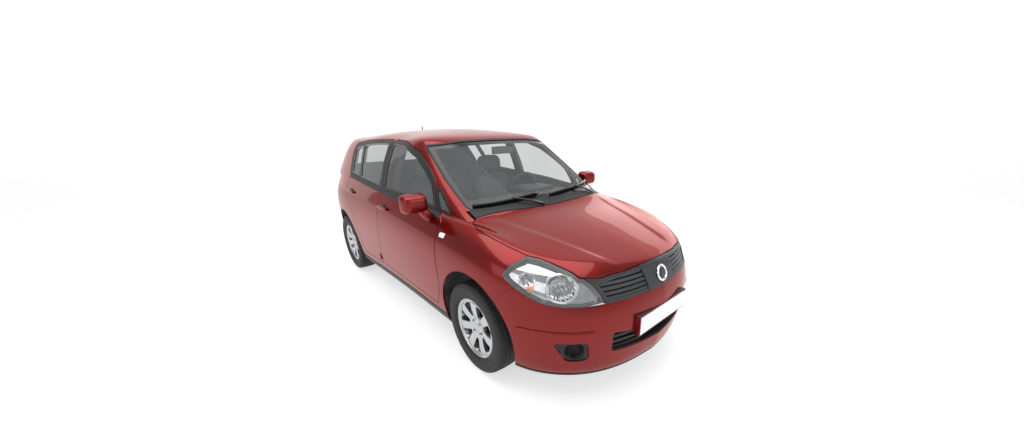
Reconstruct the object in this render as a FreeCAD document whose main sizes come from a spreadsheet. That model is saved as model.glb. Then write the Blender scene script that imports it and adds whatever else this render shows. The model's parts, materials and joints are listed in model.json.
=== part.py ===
import FreeCAD, Part
import math
import os

from FreeCAD import Placement, Rotation, Vector

# Five-door hatchback car. Frame: +X points forward, +Y to the car's left, +Z up,
# with the origin on the ground at the middle of the car's length and width.

SIZES = [
    ("body_length", 4300.0), ("body_width", 1695.0), ("body_height", 1535.0),
    ("wheelbase", 2600.0), ("front_overhang", 872.5), ("track", 1480.0),
    ("tyre_radius", 311.0), ("tyre_width", 186.0), ("tyre_shoulder", 22.0), ("tyre_bead_width", 158.0),
    ("rim_radius", 205.0), ("rim_width", 160.0), ("rim_wall", 9.0), ("rim_lip", 14.0),
    ("spoke_thickness", 26.0), ("spoke_inset", 14.0), ("hub_radius", 66.0), ("window_outer", 176.0),
    ("window_inner", 84.0), ("arch_radius", 372.0), ("arch_rise", 22.0), ("arch_depth", 330.0),
    ("door_wall", 62.0), ("frame_wall", 30.0), ("roof_wall", 30.0), ("skin_wall", 5.0),
    ("hood_wall", 22.0), ("tailgate_wall", 48.0), ("glass_wall", 5.0), ("glass_inset", 4.0),
    ("lamp_depth", 70.0), ("panel_gap", 7.0), ("seam", 0.3), ("overrun", 60.0), ("base_drop", 40.0),
    ("base_level", 112.0), ("door_draft_run", 100.0), ("door_draft", 25.0),
    ("door_corner", 38.0), ("glass_corner", 24.0),
    ("pillar_width", 105.0), ("pillar_wall", 45.0), ("pillar_clearance", 8.0),
    ("grille_slat", 9.0), ("grille_pitch", 25.0), ("grille_depth", 30.0), ("grille_rim", 9.0),
    ("plate_width", 520.0), ("plate_height", 110.0), ("plate_level", 461.0), ("plate_thickness", 3.0),
    ("plinth_margin", 7.0), ("disc_radius", 140.0), ("disc_thickness", 22.0), ("hub_length", 62.0),
    ("axle_level", 311.0), ("ball_joint_half", 690.0), ("ball_joint_level", 200.0), ("ball_radius", 14.0),
    ("strut_mount_half", 551.0), ("strut_mount_level", 840.0), ("strut_radius", 24.0),
    ("spring_radius", 56.0), ("spring_coil_radius", 6.0), ("spring_seat_level", 650.0),
    ("tower_width", 180.0), ("subframe_level", 183.0), ("lower_arm_width", 220.0),
    ("trailing_arm_half", 591.0), ("trailing_arm_length", 448.0), ("bushing_radius", 30.0),
    ("bolt_radius", 8.0), ("floor_wall", 6.0), ("floor_width", 1540.0), ("fire_wall_width", 1424.0),
    ("fire_wall_level", 868.0), ("tunnel_width", 200.0), ("heel_board", -640.0), ("rear_deck_level", 416.0),
    ("rail_section", 88.0), ("rail_level", 355.0), ("rail_front", 1964.0), ("spare_well_radius", 280.0),
    ("spare_well_centre", -1680.0), ("spare_well_depth", 160.0), ("wheel_well_inboard", 458.0),
    ("engine_length", 430.0), ("engine_width", 620.0), ("engine_height", 470.0), ("engine_level", 300.0),
    ("exhaust_radius", 24.0), ("exhaust_level", 255.0), ("muffler_radius", 85.0), ("muffler_length", 420.0),
    ("muffler_offset", 395.0), ("hanger_radius", 6.0), ("dash_width", 1280.0), ("dash_level", 985.0),
    ("dash_low", 640.0), ("dash_rear", 480.0), ("dash_overhang", 192.0), ("steering_wheel_radius", 185.0),
    ("steering_rim_radius", 14.0), ("steering_boss", 60.0), ("steering_wheel_half", 370.0),
    ("steering_wheel_centre", 330.0), ("steering_wheel_level", 960.0), ("column_tilt", 24.0),
    ("column_radius", 45.0), ("seat_inner", 120.0), ("seat_width", 470.0), ("seat_riser", 143.0),
    ("seat_front", 400.0), ("seat_length", 540.0), ("seat_height", 950.0), ("seat_corner", 40.0),
    ("seat_runner", 30.0), ("head_rest_inset", 100.0), ("rear_seat_width", 1200.0),
    ("rear_seat_front", -570.0), ("rear_seat_length", 440.0), ("rear_seat_height", 640.0),
    ("front_hinge_place", 814.0), ("rear_hinge_place", -349.0), ("hinge_half", 825.0), ("hinge_pin", 5.0),
    ("hinge_band", 36.0), ("hinge_grip", 20.0), ("hinge_arm", 14.0), ("hinge_reach", 92.0),
    ("front_hinge_low", 520.0), ("front_hinge_high", 760.0), ("rear_hinge_low", 400.0),
    ("rear_hinge_high", 520.0), ("hinge_post_width", 85.0), ("hinge_post_level", 820.0),
    ("flap_pocket", 25.0), ("mirror_front", 805.0), ("mirror_half", 790.0), ("mirror_level", 1000.0),
    ("mirror_width", 175.0), ("mirror_height", 125.0), ("mirror_depth", 105.0), ("mirror_corner", 34.0),
    ("mirror_foot", 50.0), ("antenna_place", -900.0), ("antenna_radius", 4.5), ("antenna_length", 70.0),
    ("antenna_top", 1570.0),
]

doc = FreeCAD.newDocument("hatchback")
sheet = doc.addObject("Spreadsheet::Sheet", "sizes")
for row, (name, value) in enumerate(SIZES, start=1):
    sheet.set("A%d" % row, name)
    sheet.set("B%d" % row, str(value))
    sheet.setAlias("B%d" % row, name)
doc.recompute()


def size(name):
    return float(sheet.get(name))


half_length = size("body_length") / 2
half_width = size("body_width") / 2
height = size("body_height")
front_axle = half_length - size("front_overhang")
rear_axle = front_axle - size("wheelbase")
gap = size("panel_gap")
seam = size("seam")
overrun = size("overrun")

# The body skin: one half of a shrink-wrapped surface, row by row from the bumper's
# chin up to the middle of the roof. Each row runs from the front centre round the
# corner, along the side and round the rear corner to the rear centre.
# name, front x z power, side start x w z, middle w z, side end x w z, rear x z power
SKIN_SHARES = [
    ("base", 0.930, None, 2.30, 0.619, 0.880, None, 0.860, None, -0.581, 0.880, None, -0.935, None, 2.3),
    ("lip", 0.976, 0.094, 2.35, 0.619, 0.955, 0.124, 0.927, 0.128, -0.581, 0.950, 0.134, -0.970, 0.150, 2.5),
    ("low", 0.988, 0.168, 2.40, 0.619, 0.982, 0.195, 0.951, 0.195, -0.581, 0.975, 0.199, -0.986, 0.218, 2.6),
    ("bmid", 1.000, 0.267, 2.45, 0.619, 0.992, 0.274, 0.972, 0.274, -0.581, 0.989, 0.280, -1.002, 0.303, 2.7),
    ("btop", 1.000, 0.352, 2.45, 0.619, 1.001, 0.358, 0.989, 0.358, -0.581, 0.998, 0.365, -1.004, 0.381, 2.7),
    ("grille", 0.990, 0.404, 2.40, 0.619, 1.003, 0.436, 0.998, 0.436, -0.581, 1.003, 0.443, -0.987, 0.443, 2.7),
    ("lamp", 0.979, 0.450, 2.35, 0.619, 0.994, 0.508, 0.999, 0.508, -0.581, 1.003, 0.521, -0.981, 0.515, 2.7),
    ("shoulder", 0.970, 0.485, 2.30, 0.619, 0.953, 0.564, 0.986, 0.573, -0.581, 0.989, 0.596, -0.970, 0.580, 2.6),
    ("belt_low", 0.957, 0.507, 2.20, 0.619, 0.887, 0.594, 0.953, 0.624, -0.581, 0.949, 0.659, -0.954, 0.635, 2.5),
    ("belt_high", 0.935, 0.521, 2.15, 0.619, 0.840, 0.606, 0.935, 0.651, -0.581, 0.923, 0.688, -0.945, 0.671, 2.5),
    ("hood_front", 0.870, None, 2.30, 0.540, 0.826, 0.622, 0.926, 0.659, -0.586, 0.913, 0.696, -0.940, 0.681, 2.6),
    ("hood_middle", 0.758, None, 2.60, 0.507, 0.817, 0.627, 0.920, 0.666, -0.595, 0.906, 0.702, -0.936, 0.692, 2.8),
    ("hood_rear", 0.651, None, 2.90, 0.470, 0.819, 0.631, 0.916, 0.672, -0.600, 0.900, 0.709, -0.931, 0.702, 3.0),
    ("cowl", 0.584, 0.629, 3.10, 0.428, 0.833, 0.635, 0.910, 0.681, -0.605, 0.893, 0.717, -0.927, 0.714, 3.0),
    ("screen_foot", 0.556, 0.646, 3.10, 0.363, 0.844, 0.658, 0.901, 0.694, -0.605, 0.883, 0.728, -0.920, 0.730, 3.0),
    ("glass_low", 0.479, 0.717, 3.30, 0.242, 0.852, 0.723, 0.876, 0.743, -0.595, 0.857, 0.762, -0.905, 0.769, 3.0),
    ("glass_mid", 0.372, 0.816, 3.60, 0.116, 0.824, 0.803, 0.838, 0.809, -0.581, 0.814, 0.818, -0.874, 0.837, 3.0),
    ("glass_top", 0.274, 0.904, 4.00, 0.023, 0.773, 0.875, 0.783, 0.883, -0.558, 0.765, 0.875, -0.833, 0.902, 3.0),
    ("rail", 0.223, 0.946, 4.40, 0.009, 0.734, 0.924, 0.741, 0.930, -0.535, 0.722, 0.917, -0.807, 0.932, 3.0),
    ("roof_edge", 0.177, 0.965, 4.20, -0.009, 0.684, 0.945, 0.690, 0.960, -0.535, 0.667, 0.943, -0.772, 0.946, 3.0),
    ("roof_outer", 0.070, None, 3.40, -0.047, 0.496, None, 0.496, None, -0.465, 0.472, None, -0.688, None, 2.6),
    ("roof_inner", -0.023, None, 2.80, -0.093, 0.248, None, 0.248, None, -0.419, 0.236, None, -0.605, None, 2.4),
    ("roof_middle", -0.070, None, 2.60, -0.116, 0.0, None, 0.0, None, -0.395, 0.0, None, -0.558, None, 2.4),
]
FAN_DEGREES = (0, 10, 24, 40, 57, 74, 90)
SIDE_SHARES = (1 / 6, 2 / 6, 3 / 6, 4 / 6, 5 / 6)
# crest height and fall to the side of the hood and the roof, along the length
HOOD_CREST_SHARES = [(0.456, 0.653), (0.535, 0.638), (0.605, 0.623), (0.698, 0.603), (0.791, 0.576),
                     (0.884, 0.543), (0.944, 0.515), (0.977, 0.492)]
HOOD_FALL_SHARES = [(0.456, 0.023), (0.594, 0.023), (0.767, 0.027), (0.837, 0.042), (0.886, 0.064),
                    (0.926, 0.081), (0.961, 0.098), (0.986, 0.111)]
ROOF_CREST_SHARES = [(-0.814, 0.933), (-0.698, 0.956), (-0.465, 0.985), (-0.186, 1.001), (0.0, 0.997),
                     (0.116, 0.982), (0.223, 0.958)]
HOOD_HALF_SHARE = 0.826
ROOF_HALF_SHARE = 0.690
ROOF_FALL_SHARE = 0.034
CROWN_POWER = 2.2


def along(table, share):
    if share <= table[0][0]:
        return table[0][1]
    for (x0, v0), (x1, v1) in zip(table, table[1:]):
        if share <= x1:
            return v0 + (v1 - v0) * (share - x0) / (x1 - x0)
    return table[-1][1]


def hood_share(x, y):
    fall = along(HOOD_FALL_SHARES, x)
    return along(HOOD_CREST_SHARES, x) - fall * (y / HOOD_HALF_SHARE) ** CROWN_POWER


def roof_share(x, y):
    return along(ROOF_CREST_SHARES, x) - ROOF_FALL_SHARE * (y / ROOF_HALF_SHARE) ** CROWN_POWER


def fan(power, degrees):
    if degrees == 0:
        return 1.0, 0.0
    if degrees == 90:
        return 0.0, 1.0
    turn = math.radians(degrees)
    return math.cos(turn) ** (2 / power), math.sin(turn) ** (2 / power)


def skin_row(row):
    name, xf, zf, nf, xs, ws, zs, wm, zm, xb, wb, zb, xr, zr, nr = row
    base = name == "base"
    roof = name.startswith("roof_") and zs is None
    hood = zf is None and not roof and not base
    steep = nf > 3.05
    points = []
    for degrees in FAN_DEGREES:
        c, s = fan(nf, degrees)
        x = xs + (xf - xs) * c
        y = ws * s
        if base:
            z = None
        elif roof:
            z = roof_share(x, y)
        elif hood:
            z = zs if degrees == 90 else hood_share(x, y)
            z = (z + zs) / 2 if degrees == 74 else z
        else:
            z = zs + (zf - zs) * (c ** 0.8 if steep else c)
        points.append((x, y, z))
    for q in SIDE_SHARES:
        x = xs + (xb - xs) * q
        if xs < 0.06:
            w = along([(0.0, ws), (0.5, wm), (1.0, wb)], q)
            z = None if base else (roof_share(x, w) if roof else along([(0.0, zs), (0.5, zm), (1.0, zb)], q))
        else:
            we, ze, reach = (ws, zs, x / xs) if x > 0 else (wb, zb, x / xb)
            w = wm + (we - wm) * reach ** 1.5
            z = None if base else zm + (ze - zm) * reach
        points.append((x, w, z))
    for degrees in reversed(FAN_DEGREES):
        c, s = fan(nr, degrees)
        x = xb + (xr - xb) * c
        y = wb * s
        if base:
            z = None
        else:
            z = roof_share(x, y) if roof else zb + (zr - zb) * c
        points.append((x, y, z))
    level = size("base_level")
    return [Vector(x * half_length, y * half_width, level if z is None else z * height) for x, y, z in points]


def outward(poles, r, c):
    last_row = len(poles) - 1
    last_column = len(poles[0]) - 1
    if r == last_row:
        return Vector(0, 0, 1)
    up = poles[min(r + 1, last_row)][c] - poles[max(r - 1, 0)][c]
    if c in (0, last_column):
        normal = Vector(up.z, 0, -up.x)
        if c == last_column:
            normal = normal * -1
    else:
        normal = (poles[r][c + 1] - poles[r][c - 1]).cross(up)
    if r == 0:
        normal.z = 0
    return normal.normalize()


def clamped_knots(count):
    inner = count - 3
    return list(range(inner + 1)), [4] + [1] * (inner - 1) + [4]


def half_blank(walls):
    """The closed left half of the body's outer form, moved inward row by row."""
    poles = [skin_row(row) for row in SKIN_SHARES]
    moved = [[p - outward(poles, r, c) * walls[r] for c, p in enumerate(line)] for r, line in enumerate(poles)]
    if walls[0] > 0:
        drop = Vector(0, 0, size("base_drop"))
        moved[0] = [p - drop for p in moved[0]]
    row_knots, row_mults = clamped_knots(len(moved))
    column_knots, column_mults = clamped_knots(len(moved[0]))
    surface = Part.BSplineSurface()
    surface.buildFromPolesMultsKnots(moved, row_mults, column_mults, row_knots, column_knots, False, False, 3, 3)
    wrap = surface.toShape()
    front, back = moved[0][0], moved[0][-1]
    keel = Part.LineSegment(front, back).toShape()
    flat = [e for e in wrap.Edges if abs(e.valueAt(sum(e.ParameterRange) / 2).y) < seam]
    curb = [e for e in wrap.Edges if abs(e.valueAt(sum(e.ParameterRange) / 2).y) >= seam]
    middle = Part.Face(Part.Wire(Part.__sortEdges__(flat + [keel])))
    floor = Part.Face(Part.Wire(Part.__sortEdges__(curb + [keel])))
    shell = Part.makeShell([wrap, middle, floor])
    shell.sewShape()
    return Part.makeSolid(shell)


def walls(low, glass, roof):
    table = []
    for name, *rest in SKIN_SHARES:
        if name.startswith("roof"):
            table.append(roof)
        elif name.startswith(("glass", "rail", "screen", "cowl", "hood")):
            table.append(glass)
        else:
            table.append(low)
    return table


def profile(low, glass, roof):
    return half_blank(walls(low, glass, roof))


outer = half_blank([0.0] * len(SKIN_SHARES))
wall_inner = profile(size("door_wall"), size("frame_wall"), size("roof_wall"))
skin_inner = profile(size("skin_wall"), size("skin_wall"), size("skin_wall"))
skin_seat = profile(size("skin_wall") + seam, size("skin_wall") + seam, size("skin_wall") + seam)


# outlines
SLIGHT_TURN = 0.13


def rounded_wire(points, radius):
    """A closed outline with straight sides and tangent arcs at its corners."""
    count = len(points)
    starts, ends, arcs = [], [], []
    for i, corner in enumerate(points):
        before, after = points[i - 1] - corner, points[(i + 1) % count] - corner
        half_turn = before.getAngle(after) / 2
        room = 0.45 * min(before.Length, after.Length)
        reach = min(radius / math.tan(half_turn), room)
        before.normalize()
        after.normalize()
        if math.pi / 2 - half_turn < SLIGHT_TURN:
            starts.append(corner)
            ends.append(corner)
            arcs.append(None)
            continue
        start, end = corner + before * reach, corner + after * reach
        bisector = (before + after).normalize()
        span = reach / math.cos(half_turn)
        middle = corner + bisector * (span - reach * math.tan(half_turn))
        starts.append(start)
        ends.append(end)
        arcs.append(Part.Arc(start, middle, end).toShape())
    edges = []
    for i in range(count):
        if arcs[i]:
            edges.append(arcs[i])
        edges.append(Part.LineSegment(ends[i], starts[(i + 1) % count]).toShape())
    return Part.Wire(edges)


def grown(wire, distance):
    return wire.makeOffset2D(distance) if distance else wire


def prism(wire, along_vector):
    return Part.Face(wire).extrude(along_vector)


def side_wire(shares, radius, draft=0.0):
    """Outline in the side view. Each point is x, y, z shares on the body skin; the draft
    carries it back to the half width, so that a slanted cut meets the skin there."""
    slope = size("door_draft") / size("door_draft_run") * (1 if draft else 0)
    points = []
    for x, y, z in shares:
        shift = slope * (y - 1.0) * half_width
        points.append(Vector(x * half_length + shift, half_width, z * height))
    return rounded_wire(points, radius)


def side_prism(wire, inner_share, draft=0.0):
    """Cut through one side of the car, from outside to the inner width given."""
    slope = size("door_draft") / size("door_draft_run") * (1 if draft else 0)
    depth = half_width * (1 - inner_share)
    start = wire.copy()
    start.translate(Vector(-slope * overrun, overrun, 0))
    reach = depth + overrun
    return prism(start, Vector(slope * reach, -reach, 0))


def top_prism(shares, radius, low_share, margin=0.0):
    points = [Vector(x * half_length, y * half_width, low_share * height) for x, y in shares]
    return prism(grown(rounded_wire(points, radius), margin), Vector(0, 0, height))


def end_prism(shares, radius, start_share, end_share, margin=0.0):
    points = [Vector(start_share * half_length, y * half_width, z * height) for y, z in shares]
    wire = grown(rounded_wire(points, radius), margin)
    return prism(wire, Vector((end_share - start_share) * half_length, 0, 0))


def solids_of(shape):
    kept = [s for s in shape.Solids if s.Volume > seam * size("skin_wall") ** 2 * 100]
    return kept[0] if len(kept) == 1 else Part.makeCompound(kept)


def mirrored(shape):
    return shape.mirror(Vector(0, 0, 0), Vector(0, 1, 0))


def joined(shape):
    """Both halves of a centre panel as one."""
    return shape.fuse(mirrored(shape)).removeSplitter()


PIECES = {}


def feature(name, shape):
    piece = doc.addObject("Part::Feature", name)
    piece.Label = name
    piece.Shape = shape
    PIECES[name] = piece
    return piece


# Door outlines
corner = size("door_corner")
DOOR_GAP_SHARES = [(-0.073, 0.708, 0.941), (-0.071, 0.755, 0.880), (-0.070, 0.918, 0.681),
                   (-0.088, 0.998, 0.500), (-0.123, 0.985, 0.326), (-0.150, 0.960, 0.216)]
FRONT_DOOR_SHARES = [(0.372, 0.955, 0.207), (0.408, 0.990, 0.313), (0.415, 0.998, 0.417), (0.415, 0.979, 0.541),
                     (0.408, 0.915, 0.610), (0.360, 0.879, 0.642), (0.311, 0.793, 0.772), (0.260, 0.761, 0.825),
                     (0.179, 0.741, 0.890), (0.060, 0.715, 0.934)]
REAR_DOOR_SHARES = [(-0.356, 0.716, 0.935), (-0.528, 0.722, 0.914), (-0.545, 0.755, 0.880),
                    (-0.522, 0.850, 0.770), (-0.500, 0.918, 0.700), (-0.493, 0.965, 0.600), (-0.462, 0.999, 0.520),
                    (-0.422, 0.999, 0.418), (-0.402, 0.989, 0.313), (-0.400, 0.965, 0.216)]
front_door_wire = side_wire(FRONT_DOOR_SHARES + DOOR_GAP_SHARES, corner, 1)
gap_share = gap / half_length
REAR_GAP_SHARES = [(x - gap_share, y, z) for x, y, z in reversed(DOOR_GAP_SHARES)]
rear_door_wire = side_wire(REAR_GAP_SHARES + REAR_DOOR_SHARES, corner, 1)
DOOR_DEPTH_SHARE = 0.55
front_door_zone = side_prism(front_door_wire, DOOR_DEPTH_SHARE, 1)
rear_door_zone = side_prism(rear_door_wire, DOOR_DEPTH_SHARE, 1)
front_door_hole = side_prism(grown(front_door_wire, gap), DOOR_DEPTH_SHARE, 1)
rear_door_hole = side_prism(grown(rear_door_wire, gap), DOOR_DEPTH_SHARE, 1)

FRONT_WINDOW_SHARES = [(0.340, 0.870, 0.655), (0.303, 0.795, 0.758), (0.253, 0.765, 0.806), (0.172, 0.748, 0.866),
                       (0.058, 0.728, 0.912), (-0.052, 0.722, 0.922), (-0.050, 0.755, 0.870), (-0.047, 0.905, 0.692),
                       (0.128, 0.905, 0.680)]
REAR_WINDOW_SHARES = [(-0.096, 0.905, 0.697), (-0.098, 0.755, 0.870), (-0.100, 0.722, 0.922), (-0.250, 0.728, 0.919),
                      (-0.388, 0.735, 0.902), (-0.342, 0.890, 0.720)]
QUARTER_WINDOW_SHARES = [(-0.358, 0.890, 0.722), (-0.404, 0.735, 0.899), (-0.492, 0.745, 0.884),
                         (-0.508, 0.760, 0.868), (-0.475, 0.878, 0.735)]


def window(shares, margin):
    wire = side_wire(shares, size("glass_corner"))
    return side_prism(grown(wire, margin), DOOR_DEPTH_SHARE)


glass_outer = profile(size("glass_inset"), size("glass_inset"), size("glass_inset"))
glass_back = size("glass_inset") + size("glass_wall")
glass_inner = profile(glass_back, glass_back, glass_back)


def pane(zone):
    return glass_outer.common(zone).cut(glass_inner)


front_door = outer.common(front_door_zone).cut(wall_inner).cut(window(FRONT_WINDOW_SHARES, 0))
rear_door = outer.common(rear_door_zone).cut(wall_inner)
rear_door = rear_door.cut(window(REAR_WINDOW_SHARES, 0)).cut(window(QUARTER_WINDOW_SHARES, 0))
front_pane = pane(window(FRONT_WINDOW_SHARES, -seam))
rear_panes = Part.makeCompound([pane(window(s, -seam)) for s in (REAR_WINDOW_SHARES, QUARTER_WINDOW_SHARES)])

# Door hinges: a pin on an arm from the post ahead of the door, in a bore of the door
# above and below a notch for the arm
pin = size("hinge_pin")
band = size("hinge_band")
grip = size("hinge_grip")
hinge_arm = size("hinge_arm")
hinge_reach = size("hinge_reach")
hinge_y = size("hinge_half")
NOTCH_SHARE = 1.6
FRONT_HINGES = [(size("front_hinge_place"), size(name)) for name in ("front_hinge_low", "front_hinge_high")]
REAR_HINGES = [(size("rear_hinge_place"), size(name)) for name in ("rear_hinge_low", "rear_hinge_high")]


def upright_rod(radius, x, y, low, high):
    return Part.makeCylinder(radius, high - low, Vector(x, y, low))


def slab(x0, x1, y0, y1, z0, z1):
    return Part.makeBox(x1 - x0, y1 - y0, z1 - z0, Vector(x0, y0, z0))


def hinge_room(x, level):
    """What a hinge takes out of its door: a notch, open forwards and inwards, and a bore."""
    low, high = level - band / 2, level + band / 2
    notch = slab(x - 3 * pin, x + hinge_reach + overrun, half_width * DOOR_DEPTH_SHARE, hinge_y + NOTCH_SHARE * pin, low, high)
    eye = upright_rod(2 * pin, x, hinge_y, low, high)
    return notch.fuse([eye, upright_rod(pin + seam, x, hinge_y, low - grip, high + grip)])


def hinge_leaf(x, level, post_x):
    """The pin, its eye and the arm that turns inward round the door's edge to the post."""
    low, high = level - band / 2 + pin, level + band / 2 - pin
    inner = hinge_y - hinge_reach
    finger = slab(x - hinge_arm / 2, x + hinge_arm / 2, inner - hinge_arm / 2, hinge_y, low, high)
    bar = slab(x - hinge_arm / 2, post_x, inner - hinge_arm / 2, inner + hinge_arm / 2, low, high)
    rod = upright_rod(pin, x, hinge_y, level - band / 2 - grip + seam, level + band / 2 + grip - seam)
    return finger.fuse([bar, rod, upright_rod(hinge_arm / 2, x, hinge_y, low, high)])


for place in FRONT_HINGES:
    front_door = front_door.cut(hinge_room(*place))
for place in REAR_HINGES:
    rear_door = rear_door.cut(hinge_room(*place))
for side, turn in (("left", lambda s: s), ("right", mirrored)):
    feature("front_door_" + side, turn(solids_of(front_door)))
    feature("rear_door_" + side, turn(solids_of(rear_door)))
    feature("front_door_glass_" + side, turn(solids_of(front_pane)))
    feature("rear_door_glass_" + side, turn(solids_of(rear_panes)))


# Hood, lamps, grille, fenders and front bumper
HOOD_SHARES = [(0.560, 0.0), (0.553, 0.295), (0.535, 0.566), (0.518, 0.745), (0.528, 0.790), (0.575, 0.826),
               (0.656, 0.821), (0.711, 0.800), (0.763, 0.769), (0.793, 0.723), (0.843, 0.671), (0.874, 0.635),
               (0.892, 0.620), (0.920, 0.503), (0.941, 0.311), (0.950, 0.120), (0.951, 0.0)]
HOOD_LOW_SHARE = 0.42
HOOD_CORNER_SHARE = 0.02
LAMP_LOW_SHARES = [(0.737, 0.506), (0.749, 0.489), (0.794, 0.455), (0.842, 0.425), (0.882, 0.414),
                   (0.921, 0.411), (0.944, 0.419)]
LAMP_BACK_SHARES = [(0.748, 0.535), (0.767, 0.563)]
LAMP_INNER_SHARES = [(0.8925, 0.615), (0.946, 0.529), (0.985, 0.470)]
GRILLE_LOW_SHARE = 0.412
BUMPER_SEAM_SHARES = [(0.700, 0.380), (0.7215, 0.4065), (0.742, 0.433), (0.765, 0.459), (0.785, 0.4605)]


def side_block(shares, depth=1.2):
    """A cut right across the left half, drawn in the side view with plain corners."""
    points = [Vector(x * half_length, -overrun, z * height) for x, z in shares]
    return prism(Part.makePolygon(points + points[:1]), Vector(0, half_width * depth + overrun, 0))


def top_block(shares):
    points = [Vector(x * half_length, y * half_width, 0) for x, y in shares]
    return prism(Part.makePolygon(points + points[:1]), Vector(0, 0, 2 * height))


hood_outline = HOOD_SHARES + [(0.951, -0.05), (0.560, -0.05)]
hood_corner = HOOD_CORNER_SHARE * half_length
hood_zone = top_prism(hood_outline, hood_corner, HOOD_LOW_SHARE)
hood_hole = top_prism(hood_outline, hood_corner, HOOD_LOW_SHARE, gap)
hood_inner = profile(size("hood_wall"), size("hood_wall"), size("hood_wall"))
hood = outer.common(hood_zone).cut(hood_inner)
feature("hood", joined(solids_of(hood)))

lamp_side = side_block(LAMP_LOW_SHARES + [(1.1, 0.419), (1.1, 0.70), (0.767, 0.70)] + LAMP_BACK_SHARES[::-1])
lamp_span = top_block([(0.70, 1.2), (0.70, 0.56)] + LAMP_INNER_SHARES + [(1.1, 0.470), (1.1, 1.2)])
lamp_zone = lamp_side.common(lamp_span).cut(hood_hole)
lamp_depth = profile(size("lamp_depth"), size("lamp_depth"), size("lamp_depth"))
lamp = outer.common(lamp_zone).cut(lamp_depth)

grille_zone = side_block([(0.86, GRILLE_LOW_SHARE), (1.1, GRILLE_LOW_SHARE), (1.1, 0.60), (0.86, 0.60)])
grille_span = top_block([(0.86, -0.1), (1.1, -0.1), (1.1, 0.62), (0.86, 0.62)])
grille_zone = grille_zone.cut(lamp_span).cut(hood_hole).common(grille_span)
grille_back = profile(size("grille_depth"), size("grille_depth"), size("grille_depth"))

def wheel_arch(axle, radius, depth):
    centre = Vector(axle, half_width + overrun, size("axle_level") + size("arch_rise"))
    return Part.makeCylinder(radius, depth + overrun, centre, Vector(0, -1, 0))


front_arch = wheel_arch(front_axle, size("arch_radius"), size("arch_depth"))
rear_arch = wheel_arch(rear_axle, size("arch_radius"), size("arch_depth"))

LAMP_EDGE_SHARES = LAMP_LOW_SHARES[::-1]
bumper_top = [(1.1, GRILLE_LOW_SHARE)] + [(0.944, GRILLE_LOW_SHARE)] + LAMP_EDGE_SHARES[1:5] + BUMPER_SEAM_SHARES[::-1]
FRONT_LIP_SHARES = [(0.700, 0.124), (0.800, 0.108), (1.1, 0.097)]
LOWER_OPENING_SHARES = [(-0.05, 0.285), (0.330, 0.285), (0.490, 0.300), (0.480, 0.212), (-0.05, 0.196)]
FOG_OPENING_SHARES = [(0.640, 0.270), (0.795, 0.272), (0.800, 0.262), (0.740, 0.195), (0.700, 0.188), (0.615, 0.193)]
opening_corner = size("glass_corner")
lower_opening = end_prism(LOWER_OPENING_SHARES, opening_corner, 0.80, 1.1)
fog_opening = end_prism(FOG_OPENING_SHARES, opening_corner, 0.80, 1.1)
bumper_zone = side_block(FRONT_LIP_SHARES + bumper_top)
bumper = outer.common(bumper_zone).cut(skin_inner).cut(front_arch).cut(lower_opening).cut(fog_opening)

FENDER_SHARES = [(0.419, 0.130), (0.4195, 0.613), (0.441, 0.627), (0.434, 0.680), (0.470, 0.690), (0.700, 0.690),
                 (0.767, 0.640)]
FENDER_SHARES += LAMP_BACK_SHARES[::-1] + LAMP_LOW_SHARES[:3] + BUMPER_SEAM_SHARES[::-1] + [(0.700, 0.130)]
fender_span = top_block([(0.40, 0.765), (0.62, 0.765), (0.78, 0.65), (0.80, 1.2), (0.40, 1.2)])
fender_zone = side_block(FENDER_SHARES).common(fender_span)
fender_blank = outer.common(fender_zone).cut(hood_hole).cut(front_arch)
fender = fender_blank.cut(skin_inner)
fender_blank = fender_blank.cut(skin_seat)

# Windscreen and cowl
SCREEN_SHARES = [(-0.05, 0.672), (0.30, 0.672), (0.742, 0.664), (0.742, 0.72), (0.735, 0.777), (0.690, 0.912),
                 (0.680, 0.920), (0.40, 0.936), (-0.05, 0.940)]
screen_zone = end_prism(SCREEN_SHARES, opening_corner, 0.12, 0.62)
screen_hole = end_prism(SCREEN_SHARES, opening_corner, 0.12, 0.62, seam)
windscreen = glass_outer.common(screen_zone).cut(glass_inner)
QUARTER_PANE_SHARES = [(0.437, 0.835, 0.634), (0.367, 0.870, 0.652), (0.325, 0.795, 0.765)]
quarter_pane = pane(window(QUARTER_PANE_SHARES, -seam))

cowl_zone = top_block([(0.47, -0.1), (0.60, -0.1), (0.60, 0.745), (0.48, 0.745)]).cut(hood_hole).cut(screen_hole)
cowl = outer.common(cowl_zone).cut(hood_inner)

# Tailgate, tail lamps and rear bumper
TAILGATE_SHARES = [(-0.05, 0.380), (0.52, 0.380), (0.585, 0.425), (0.620, 0.480), (0.635, 0.570), (0.650, 0.680),
                   (0.640, 0.800), (0.600, 0.915), (0.560, 0.985), (-0.05, 0.985)]
TAILGATE_FRONT_SHARE = -0.735
tailgate_zone = end_prism(TAILGATE_SHARES, corner, TAILGATE_FRONT_SHARE, -1.1)
tailgate_hole = end_prism(TAILGATE_SHARES, corner, TAILGATE_FRONT_SHARE + gap_share, -1.1, gap)
tailgate_inner = profile(size("tailgate_wall"), size("frame_wall"), size("roof_wall"))
REAR_WINDOW_END_SHARES = [(-0.05, 0.725), (0.560, 0.725), (0.610, 0.745), (0.530, 0.895), (0.47, 0.905),
                          (-0.05, 0.910)]
rear_light = end_prism(REAR_WINDOW_END_SHARES, opening_corner, -0.70, -1.1)
rear_pane_zone = end_prism(REAR_WINDOW_END_SHARES, opening_corner, -0.70, -1.1, -seam)
tailgate = outer.common(tailgate_zone).cut(joined(tailgate_inner)).cut(rear_light)
tailgate_pane = glass_outer.common(rear_pane_zone).cut(glass_inner)

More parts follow.
